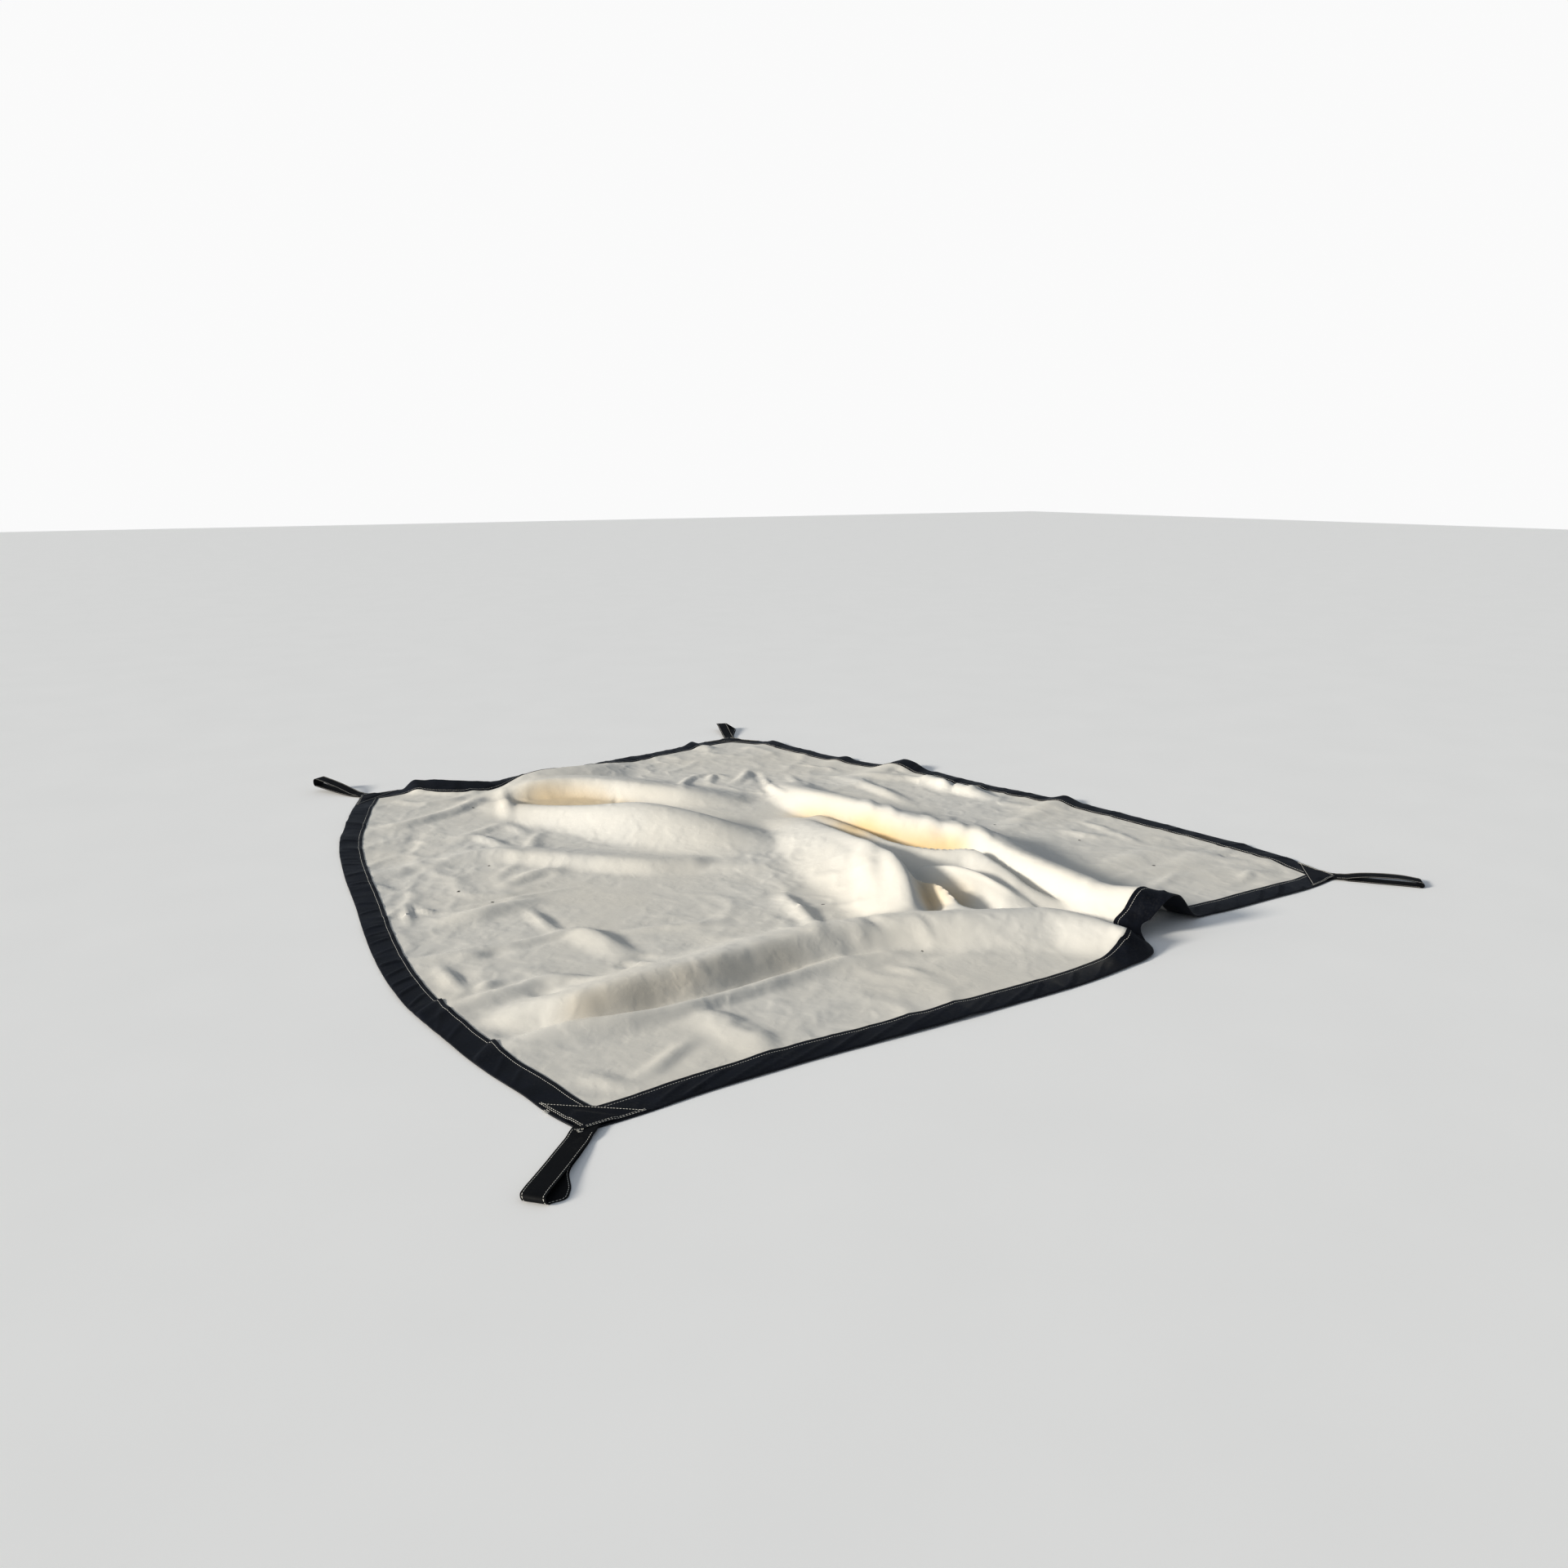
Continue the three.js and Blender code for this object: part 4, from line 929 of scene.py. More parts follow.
def across_band(sections, inset, lift):
    """Points across the tape, at insets from its fold and lifts off the cloth's line."""
    (outer, outer_out), (inner, inner_out) = sections
    inset, lift = np.broadcast_arrays(np.atleast_1d(inset), np.atleast_1d(lift))
    low = outer[:, None] + outer_out[:, None] * lift[..., None]
    high = inner[:, None] + inner_out[:, None] * lift[..., None]
    return low + (high - low) * (inset / BAND)[..., None]


# Meshes.


def turned_out(points, faces):
    """The faces of a closed skin, turned to point outward."""
    points = points - points.mean(axis=0)
    volume = 0.0
    for size in {len(face) for face in faces}:
        fans = points[np.array([face for face in faces if len(face) == size])]
        for k in range(1, size - 1):
            volume += np.einsum("ij,ij->", fans[:, 0], np.cross(fans[:, k], fans[:, k + 1]))
    return faces if volume > 0 else [tuple(reversed(face)) for face in faces]


def add_piece(name, points, faces, cut, finish):
    """A closed skin as a piece, with its flat cut as a UV map in metres."""
    points = np.asarray(points, float) - np.append(MIDDLE, 0)
    mesh = bpy.data.meshes.new(name)
    mesh.from_pydata(points.tolist(), [], turned_out(points, faces))
    corner_of = np.empty(len(mesh.loops), int)
    mesh.loops.foreach_get("vertex_index", corner_of)
    flat = np.asarray(cut, np.float32)[corner_of]
    mesh.uv_layers.new(name="cut").uv.foreach_set("vector", flat.ravel())
    mesh.shade_smooth()
    mesh.set_sharp_from_angle(angle=SHARP)
    mesh.materials.append(finish)
    piece = bpy.data.objects.new(name, mesh)
    bpy.context.collection.objects.link(piece)
    return piece


def tube_faces(rings, around):
    """Faces of a closed tube of rings, with both ends shut."""
    faces = []
    for k in range(rings - 1):
        for i in range(around):
            n = (i + 1) % around
            a, b = k * around, (k + 1) * around
            faces.append((a + i, a + n, b + n, b + i))
    faces.append(tuple(reversed(range(around))))
    faces.append(tuple(range((rings - 1) * around, rings * around)))
    return faces


def sweep(field, pick, times):
    """A grid whose values are picked from themselves and their neighbours, some times over."""
    for _ in range(times):
        edged = np.pad(field, 1, mode="edge")
        here = edged[1:-1, 1:-1]
        beside = (edged[:-2, 1:-1], edged[2:, 1:-1], edged[1:-1, :-2], edged[1:-1, 2:])
        field = pick((here, *beside), axis=0)
    return field


def painted_warm_shade(spots, height):
    """How much painted warm shade the cloth gets, from 0 to 1, mostly deep in hollows between two
    folds.
    """
    filled = sweep(sweep(height, np.max, HOLLOW_CELLS), np.min, HOLLOW_CELLS)
    near = np.zeros(height.shape)
    for x, y, reach, strength in WARM_SHADE_SPOTS:
        away = np.hypot(spots[..., 0] - x, spots[..., 1] - y)
        near = np.maximum(near, strength * (1 - ease(WARM_SHADE_CORE * reach, reach, away)))
    tint = ease(*HOLLOW_DEPTH, filled - height) * near
    # Painted warm shade on the front ridge's shaded face.
    for x, y, along, across, strength in WARM_FACE_SHADE:
        away = np.hypot((spots[..., 0] - x) / along, (spots[..., 1] - y) / across)
        tint = np.maximum(tint, strength * (1 - ease(FACE_SHADE_CORE, 1.0, away)))
    return sweep(tint, np.mean, TINT_BLUR)


def spots_inside(flat, u, v):
    """Spots over the sheet, carried in from the four lines where the tape ends on it."""
    front, back = flat["front"][:, None], flat["back"][:, None]
    left, right = flat["left"][None], flat["right"][None]
    u, v = u[:, None, None], v[None, :, None]
    spots = front * (1 - v) + back * v + left * (1 - u) + right * u
    spots = spots - front[0] * (1 - u) * (1 - v) - front[-1] * u * (1 - v)
    return spots - back[0] * (1 - u) * v - back[-1] * u * v


def make_cloth(finish):
    u, v = shares(ACROSS), shares(ALONG)
    rings = {side: sections_of(side, u if side in ("front", "back") else v) for side in EDGES}
    spots = spots_inside({side: ring[1][0][:, :2] for side, ring in rings.items()}, u, v)
    heights = height_at(spots.reshape(-1, 2)).reshape(len(u), len(v), 1)
    points = np.concatenate((spots, heights), axis=-1)
    out = unit(np.cross(np.gradient(points, axis=0), np.gradient(points, axis=1)))
    out[:, 0], out[:, -1] = rings["front"][1][1], rings["back"][1][1]
    out[0], out[-1] = rings["left"][1][1], rings["right"][1][1]
    i, j = np.meshgrid(np.arange(len(u)), np.arange(len(v)), indexing="ij")
    from_tape = np.minimum(np.minimum(i, len(u) - 1 - i), np.minimum(j, len(v) - 1 - j))
    lift = (UNDER_TAPE * (1 - ease(0, RAISED_CELLS, from_tape)))[..., None]
    low, high = points + out * lift, points + out * (lift + CLOTH)

    # Both faces of the sheet, cell by cell.
    index = i * len(v) + j
    top = index.size
    corners = (np.s_[:-1, :-1], np.s_[1:, :-1], np.s_[1:, 1:], np.s_[:-1, 1:])
    faces = []
    for a, b, c, d in zip(*(index[corner].ravel().tolist() for corner in corners)):
        faces += [(top + a, top + b, top + c, top + d), (a, d, c, b)]

    # The margin that goes into the fold of the tape.
    around = (index[:-1, 0], index[-1, :-1], index[:0:-1, -1], index[0, :0:-1])
    inner = np.concatenate(around).tolist()
    count = len(inner)
    ways = {"front": np.s_[:-1], "right": np.s_[:-1], "back": np.s_[:0:-1], "left": np.s_[:0:-1]}
    rims = [
        across_band(rings[side], UNDER_TAPE, lifted)[way, 0]
        for lifted in (UNDER_TAPE, UNDER_TAPE + CLOTH)
        for side, way in ways.items()
    ]
    for k in range(count):
        n = (k + 1) % count
        low_a, low_b = 2 * top + k, 2 * top + n
        high_a, high_b = low_a + count, low_b + count
        faces += [
            (high_a, high_b, top + inner[n], top + inner[k]),
            (low_a, inner[k], inner[n], low_b),
            (low_a, low_b, high_b, high_a),
        ]

    cut = np.stack(np.meshgrid(u, v, indexing="ij"), axis=-1).reshape(-1, 2) * CUT
    cuts = np.concatenate((cut, cut, cut[inner], cut[inner]))
    everything = np.concatenate((low.reshape(-1, 3), high.reshape(-1, 3), *rims))
    piece = add_piece("blanket_cloth", everything, faces, cuts, finish)
    # The painted warm shade, kept on the sheet's points for its material.
    tint = painted_warm_shade(spots, points[..., 2]).ravel()
    warm_shade_paint = piece.data.attributes.new("warm_shade_paint", "FLOAT", "POINT")
    values = np.concatenate((tint, tint, np.zeros(2 * count)))
    warm_shade_paint.data.foreach_set("value", values.astype(np.float32))
    return piece


def ridge_across(rows, run, inset, steep):
    """Wrinkles that cross the tape, one to a row, steeper on the far side."""
    total = np.zeros(np.broadcast(run, inset).shape)
    for at, slant, height, width in rows:
        off = run - at - slant * inset
        reach = np.where(off < 0, width, width * steep)
        share = np.clip(np.abs(off) / reach, 0, 1)
        total = np.maximum(total, height * 0.5 * (1 + np.cos(np.pi * share)))
    return total


def drawn_wrinkles(side):
    """Wrinkles of a smoother side, spaced about evenly."""
    count, slant_from, slant_to, height, width = SMOOTHER[side]
    draw = random.Random(side)
    return [
        (
            (k + draw.uniform(*PLACE_RANGE)) / count,
            draw.uniform(slant_from, slant_to),
            height * draw.uniform(*HEIGHT_RANGE),
            width * draw.uniform(*WIDTH_RANGE),
        )
        for k in range(count)
    ]


def tape_rows(side, length):
    """A side's wrinkles and pleats, with their places as lengths along the edge."""
    wrinkles = WRINKLES[side] if side in WRINKLES else drawn_wrinkles(side)
    return tuple(
        [(share * length, *row) for share, *row in rows]
        for rows in (wrinkles, PLEATS.get(side, []))
    )


def waves_along(run, scale, row, layer):
    """Noise along a tape, as a column with one value to a section."""
    return np.array([noise.noise(Vector((scale * x, row, layer))) for x in run.ravel()])[:, None]


def free_tape(run, length):
    """From 0, where a corner's patch holds the tape down, to 1 between the patches."""
    return ease(*FREE_TAPE, run) * ease(*FREE_TAPE, length - run)


def tape_lift(side, run, inset, length):
    """How far the tape's top leaf stands off the cloth."""
    wrinkles, pleats = tape_rows(side, length)
    loose = ease(0.0, WRINKLE_FADE, inset) * (1 - ease(SEAM - WRINKLE_FADE, SEAM, inset))
    puff = PUFF * (1 + waves_along(run, PUFF_WAVES, TAPE_NOISE[side], PUFF_LAYER))
    lip = LIP * (1 + waves_along(run, LIP_WAVES, LIP_LAYER, TAPE_NOISE[side]))
    lift = ridge_across(wrinkles, run, inset, WRINKLE_STEEP) * loose
    lift = lift + puff * np.sin(np.pi * np.clip(inset / SEAM, 0, 1))
    lift = lift + lip * ease(SEAM, BAND, inset)
    stays = PLEAT_SEWN + (1 - PLEAT_SEWN) * loose
    lift = lift + ridge_across(pleats, run, inset, PLEAT_STEEP) * stays
    return lift * free_tape(run, length)


def tape_width(side, run, length):
    """Width of the tape as a share of its cut, which wavers a little and steps at a pleat."""
    _, pleats = tape_rows(side, length)
    waver = WAVER * waves_along(run, WAVER_WAVES, WAVER_LAYER, TAPE_NOISE[side])
    step = ridge_across(pleats, run, BAND, PLEAT_STEEP) / PLEAT_HEIGHT
    return 1 + (waver + PLEAT_WIDENS * step) * free_tape(run, length)


def make_binding(side, finish):
    length = edge_length(side)
    share = np.linspace(0, 1, round(length / TAPE_STEP) + 1)
    sections = sections_of(side, share)
    held = OUTER_FOLD + LOW_LEAF + INNER_FOLD
    inset, lift = np.array(TOP_LEAF + held + INSIDE_LEAF).T
    stands = np.repeat((1, 0, 1), (len(TOP_LEAF), len(held), len(INSIDE_LEAF)))
    run = (share * length)[:, None]
    rise = tape_lift(side, run, inset[None], length) * stands
    wide = inset[None] * np.where(stands, tape_width(side, run, length), 1)
    points = across_band(sections, wide, lift[None] + rise)
    edge = sections[0][0]
    for end, next_to in ((0, 1), (-1, -2)):
        points[end] += MITRE * unit(edge[next_to] - edge[end])
    cut = np.stack(np.broadcast_arrays(run, inset[None]), axis=-1).reshape(-1, 2)
    faces = tube_faces(len(share), len(inset))
    piece = add_piece(f"binding_{side}_tape", points.reshape(-1, 3), faces, cut, finish)
    seam = TOP_LEAF.index((SEAM, OVER_TAPE))
    line, across = points[:, seam], points[:, seam - 1] - points[:, seam + 1]
    out = unit(np.cross(np.gradient(line, axis=0), across))
    return piece, [(line, out * np.sign(out[:, 2:]))]


def loop_axes(loop):
    turn = math.radians(loop["heading"])
    ahead = np.array((math.cos(turn), math.sin(turn)))
    return ahead, np.array((-ahead[1], ahead[0]))


def make_patch(name, finish):
    loop = LOOPS[name]
    corner = CORNERS[loop["corner"]]
    ahead, aside = loop_axes(loop)
    apex = corner + (MITRES[loop["corner"]][0] - corner) * PATCH_INSET / BAND
    ends = []
    for side in MEETING[loop["corner"]]:
        share = share_from(side, loop["corner"], PATCH_LEG)
        ends.append((edge_points(side, share) + PATCH_INSET * inward_at(side, share))[0])
    a, b = ends

    def lay(flat):
        away = flat - corner
        over_strap = 1 - ease(*BESIDE_STRAP, np.abs(away @ aside))
        over_root = 1 - ease(*PAST_ROOT, -(away @ ahead))
        return np.column_stack((flat, STRAP_LIFT + PATCH_LIFT * over_strap * over_root))

    cells = [(i, j) for i in range(PATCH_CELLS + 1) for j in range(PATCH_CELLS + 1 - i)]
    number = {cell: k for k, cell in enumerate(cells)}
    steps = np.array(cells) / PATCH_CELLS
    flat = apex + steps[:, :1] * (a - apex) + steps[:, 1:] * (b - apex)
    low = lay(flat)
    at_rim = np.array([min(i, j, PATCH_CELLS - i - j) == 0 for i, j in cells])
    high = low + np.column_stack((0 * flat, np.where(at_rim, TAPE * PATCH_RIM, TAPE)))
    top = len(cells)
    trios = []
    for i, j in cells:
        if i + j < PATCH_CELLS:
            trios.append((number[i, j], number[i + 1, j], number[i, j + 1]))
        if i + j < PATCH_CELLS - 1:
            trios.append((number[i + 1, j], number[i + 1, j + 1], number[i, j + 1]))
    faces = []
    for trio in trios:
        faces += [tuple(top + k for k in trio), tuple(reversed(trio))]
    rim = [number[i, 0] for i in range(PATCH_CELLS)]
    rim += [number[PATCH_CELLS - i, i] for i in range(PATCH_CELLS)]
    rim += [number[0, PATCH_CELLS - i] for i in range(PATCH_CELLS)]
    faces += [(p, q, top + q, top + p) for p, q in zip(rim, rim[1:] + rim[:1])]
    skin, cuts = np.concatenate((low, high)), np.concatenate((flat, flat))
    piece = add_piece(f"patch_{name}_cloth", skin, faces, cuts, finish)

    seams = []
    middle = (apex + a + b) / 3
    t = np.linspace(*PATCH_SEAM_ENDS, PATCH_SEAM_POINTS)[:, None]
    upward = np.tile((0.0, 0, 1), (PATCH_SEAM_POINTS, 1))
    for start, end, insets in zip((apex, a, b), (a, b, apex), PATCH_SEAMS):
        run = unit(end - start)
        inward = np.array((-run[1], run[0]))
        inward = inward * np.sign(inward @ (middle - start))
        for inset in insets:
            line = lay(start + t * (end - start) + inset * inward)
            seams.append((line + (0, 0, TAPE), upward))
    return piece, seams


def make_loop(name, finish):
    loop = LOOPS[name]
    corner = CORNERS[loop["corner"]]
    ahead, aside = loop_axes(loop)
    start, turn_at = loop["rows"][0][0], loop["rows"][-1][0]
    tucked = np.linspace(-ROOT, start, ROOT_STEPS)[:-1]
    stations = np.concatenate((tucked, np.linspace(start, turn_at, LOOP_STEPS)))
    rows = np.where(stations[:, None] <= start, 0, through(loop["rows"], stations))
    stray, lift, rise = rows.T
    lower = STRAP / 2 + STRAP_LIFT * (1 - ease(*OFF_TAPE, stations)) + np.maximum(lift, 0)
    upper = lower + STRAP + GAP + np.maximum(rise, 0)

    # The path of the strap's middle: out, round the tip and back. Columns: reach, height, stray.
    bend = np.arange(1, BENDS)
    angle = np.pi * bend / BENDS
    middle, radius = (lower[-1] + upper[-1]) / 2, (upper[-1] - lower[-1]) / 2
    around = np.column_stack((
        turn_at + (TURN - STRAP / 2) * np.sin(angle),
        middle - radius * np.cos(angle),
        stray[-1] * (1 - ease(0, BENDS, bend)),
    ))
    out_run = np.column_stack((stations, lower, stray))
    back_run = np.column_stack((stations, upper, 0 * stations))[::-1]
    path = np.concatenate((out_run, around, back_run))
    place = np.arange(len(path))
    before = path[np.maximum(place - 1, 0), :2]
    after = path[np.minimum(place + 1, len(path) - 1), :2]
    run = unit(after - before)
    out = np.column_stack((run[:, 1], -run[:, 0]))
    mirrored = [(-offset, share) for offset, share in HALF_STRAP[:0:-1]]
    columns, share = np.array([*mirrored, *HALF_STRAP]).T
    half = share * STRAP / 2

    def face_of(sign):
        reach = path[:, None, 0] + sign * out[:, None, 0] * half
        height = path[:, None, 1] + sign * out[:, None, 1] * half
        left = path[:, None, 2] + columns
        flat = corner + reach[..., None] * ahead + left[..., None] * aside
        return np.concatenate((flat, height[..., None]), axis=-1)

    outer, inner = face_of(1), face_of(-1)
    rings = np.concatenate((outer, inner[:, ::-1]), axis=1)
    across = np.concatenate((columns, columns[::-1]))
    cut = np.broadcast_arrays(lengths(path)[:, None], across[None])
    cut = np.stack(cut, axis=-1).reshape(-1, 2)
    faces = tube_faces(len(path), rings.shape[1])
    piece = add_piece(f"loop_{name}_strap", rings.reshape(-1, 3), faces, cut, finish)

    tip = len(stations)
    up = np.column_stack((out[:, :1] * ahead, out[:, 1]))
    back, ahead_of_root = np.s_[tip:-LOOP_SEAM_START], np.s_[LOOP_SEAM_START:tip]
    seams = []
    for column in np.flatnonzero(np.abs(columns) == STRAP_SEAM):
        seams.append((outer[back, column], up[back]))
        seams.append((inner[ahead_of_root, column], -up[ahead_of_root]))
    return piece, seams


def one_stitch():
    """A stitch of thread lying along x, as points and faces."""
    bpy.ops.object.select_all(action="DESELECT")
    bpy.ops.mesh.primitive_uv_sphere_add(segments=6, ring_count=4, radius=0.5)
    grain = bpy.context.active_object
    bpy.ops.object.mode_set(mode="EDIT")
    bpy.ops.mesh.select_all(action="SELECT")
    bpy.ops.transform.rotate(value=math.pi / 2, orient_axis="Y", center_override=(0, 0, 0))
    size = (STITCH, THREAD, THREAD_FLAT * THREAD)
    bpy.ops.transform.resize(value=size, center_override=(0, 0, 0))
    bpy.ops.object.mode_set(mode="OBJECT")
    mesh = grain.data
    points = np.array([vertex.co[:] for vertex in mesh.vertices])
    faces = [tuple(face.vertices) for face in mesh.polygons]
    bpy.data.objects.remove(grain)
    bpy.data.meshes.remove(mesh)
    return points, faces


def frayed_ends(rows, draw):
    """Short ends of thread that fan out from a place, each as the points of a tube."""
    around = 2 * np.pi * np.arange(FRAY_SIDES) / FRAY_SIDES
    share = np.linspace(0, 1, FRAY_RINGS)
    ends = []
    for x, y, height, heading, count in rows:
        for _ in range(count):
            turn = math.radians(heading + draw.uniform(-FRAY_FAN, FRAY_FAN))
            turn = turn + draw.uniform(-FRAY_CURL, FRAY_CURL) * share
            way = np.column_stack((np.cos(turn), np.sin(turn)))
            start = [at + draw.uniform(-strewn, strewn) for at, strewn in zip((x, y), FRAY_START)]
            spot = start + np.cumsum(way, axis=0) * draw.uniform(*FRAY_LENGTH) / FRAY_RINGS
            rise = height + draw.uniform(0, FRAY_RISE) * share
            aside = np.column_stack((-way[:, 1], way[:, 0]))[:, None]
            flat = spot[:, None] + FRAY_RADIUS * (aside * np.cos(around)[None, :, None])
            lift = rise[:, None] + FRAY_RADIUS * np.sin(around)
            ends.append(np.concatenate((flat, lift[..., None]), axis=-1).reshape(-1, 3))
    return ends


def carried(values, run, at):
    """Rows of three values along a run, at places on it."""
    return np.column_stack([np.interp(at, run, values[:, k]) for k in range(3)])


def sew(name, seams, stitch, finish):
    """A row of stitches along each seam, which is a line of points and the way out at each."""
    grain, grain_faces = stitch
    draw = random.Random(name)
    points, faces, cuts = [], [], []
    for line, out in seams:
        run = lengths(line)
        at = np.arange(STITCH_PITCH / 2, run[-1], STITCH_PITCH)
        at = at + np.array([draw.uniform(-STITCH_STRAY, STITCH_STRAY) for _ in at])
        spot = carried(line, run, at)
        ahead, behind = carried(line, run, at + STITCH_LOOK), carried(line, run, at - STITCH_LOOK)
        way = unit(ahead - behind)
        up = carried(out, run, at)
        up = unit(up - (up * way).sum(1, keepdims=True) * way)
        side = np.cross(up, way)
        for k in range(len(at)):
            base = len(points) * len(grain)
            faces += [tuple(base + i for i in face) for face in grain_faces]
            slant = draw.uniform(-STITCH_SLANT, STITCH_SLANT) * grain[:, :1]
            placed = grain[:, :1] * way[k] + (grain[:, 1:2] + slant) * side[k]
            points.append(spot[k] + (placed + (grain[:, 2:] + STITCH_RISE) * up[k]))
            cuts.append(grain[:, :2] + (at[k], 0))
    base = len(points) * len(grain)
    for end in frayed_ends(FRAYED.get(name, []), draw):
        tube = turned_out(end, tube_faces(FRAY_RINGS, FRAY_SIDES))
        faces += [tuple(base + i for i in face) for face in tube]
        points.append(end)
        cuts.append(end[:, :2])
        base += len(end)
    return add_piece(name, np.concatenate(points), faces, np.concatenate(cuts), finish)


# Finishes.


def put(tree, kind, feeds=None, **settings):
    """A node of a kind, with its settings, and with values or links in its inputs."""
    node = tree.nodes.new("ShaderNode" + kind)
    for key, value in settings.items():
        setattr(node, key, value)
    for key, value in (feeds or {}).items():
        if isinstance(value, bpy.types.NodeSocket):
            tree.links.new(value, node.inputs[key])
        else:
            node.inputs[key].default_value = value
    return node


def sums(tree, operation, *terms):
    return put(tree, "Math", dict(enumerate(terms)), operation=operation).outputs[0]


def blend(tree, amount, first, second):
    feeds = {0: amount, 6: first, 7: second}
    return put(tree, "Mix", feeds, data_type="RGBA").outputs[2]


def spread(tree, value, low, high, to_low, to_high):
    feeds = {"Value": value, "From Min": low, "From Max": high, "To Min": to_low, "To Max": to_high}
    return put(tree, "MapRange", feeds).outputs[0]


def clouds(tree, place, scale, detail, **more):
    """Soft noise, which stays near a half."""
    feeds = {"Vector": place, "Scale": scale, "Detail": detail, **more}
    return put(tree, "TexNoise", feeds).outputs[0]


def raise_by(tree, height, distance, strength, under=None):
    feeds = {"Height": height, "Distance": distance, "Strength": strength}
    if under is not None:
        feeds["Normal"] = under
    return put(tree, "Bump", feeds).outputs[0]


def new_group(name, inputs, output):
    """A shader node group, with what it is given and its one result."""
    group = bpy.data.node_groups.new(name, "ShaderNodeTree")
    for label, kind in inputs.items():
        group.interface.new_socket(label, in_out="INPUT", socket_type="NodeSocket" + kind)
    group.interface.new_socket(output, in_out="OUTPUT", socket_type="NodeSocketFloat")
    given = group.nodes.new("NodeGroupInput").outputs
    return group, given, group.nodes.new("NodeGroupOutput").inputs[output]


def weave_group():
    """Threads that pass over and under each other."""
    group, given, result = new_group("weave", {"Cut": "Vector", "Threads": "Float"}, "Height")
    turns = sums(group, "MULTIPLY", given["Threads"], math.pi)
    feeds = {0: given["Cut"], "Scale": turns}
    scaled = put(group, "VectorMath", feeds, operation="SCALE").outputs[0]
    place = put(group, "SeparateXYZ", {0: scaled}).outputs
    warp = sums(group, "SINE", place[0], 0.0)
    weft = sums(group, "SINE", place[1], 0.0)
    crossed = sums(group, "MULTIPLY", warp, weft)
    group.links.new(sums(group, "MULTIPLY_ADD", crossed, 0.5, 0.5), result)
    return group


def dust_group():
    """Dust that gathers in patches."""
    group, given, result = new_group("dust", {"Place": "Vector", "Cover": "Float"}, "Mask")
    fine = spread(group, clouds(group, given["Place"], 160.0, 3.0), 0.45, 0.75, 0.0, 1.0)
    broad = spread(group, clouds(group, given["Place"], 9.0, 4.0), 0.42, 0.68, 0.15, 1.0)
    both = sums(group, "MULTIPLY", fine, broad)
    group.links.new(sums(group, "MULTIPLY", both, given["Cover"]), result)
    return group


def crinkle_group():
    """Small sharp creases that cloth keeps from being folded and packed."""
    group, given, result = new_group("crinkle", {"Place": "Vector", "Scale": "Float"}, "Height")
    bent = clouds(group, given["Place"], given["Scale"], 2.0)
    ridge = sums(group, "ABSOLUTE", sums(group, "SUBTRACT", bent, 0.5), 0.0)
    feeds = {"Value": ridge, "From Max": 0.16, "To Min": 1.0, "To Max": 0.0}
    soft = put(group, "MapRange", feeds, interpolation_type="SMOOTHSTEP").outputs[0]
    group.links.new(soft, result)
    return group


def speck_group():
    """One small mark at a place."""
    inputs = {"Place": "Vector", "Spot": "Vector", "Size": "Float"}
    group, given, result = new_group("speck", inputs, "Mask")
    rough = clouds(group, given["Place"], 220.0, 1.0)
    feeds = {0: given["Place"], 1: given["Spot"]}
    apart = put(group, "VectorMath", feeds, operation="DISTANCE").outputs["Value"]
    share = sums(group, "DIVIDE", apart, given["Size"])
    edge = sums(group, "ADD", share, sums(group, "MULTIPLY", rough, 0.8))
    group.links.new(spread(group, edge, 0.75, 1.0, 1.0, 0.0), result)
    return group


GROUPS = {
    "weave": weave_group(),
    "dust": dust_group(),
    "crinkle": crinkle_group(),
    "speck": speck_group(),
}


def use(tree, name, **feeds):
    return put(tree, "Group", feeds, node_tree=GROUPS[name]).outputs[0]


def new_finish(name, **sockets):
    """A material, its node tree, its shader's inputs, and places on the piece."""
    finish = bpy.data.materials.new(name)
    finish.use_nodes = True
    tree = finish.node_tree
    shader = tree.nodes["Principled BSDF"].inputs
    for key, value in sockets.items():
        shader[key.replace("_", " ")].default_value = value
    return finish, tree, shader, put(tree, "TexCoord").outputs["Object"]


def cut_of(tree):
    return put(tree, "UVMap", uv_map="cut").outputs[0]


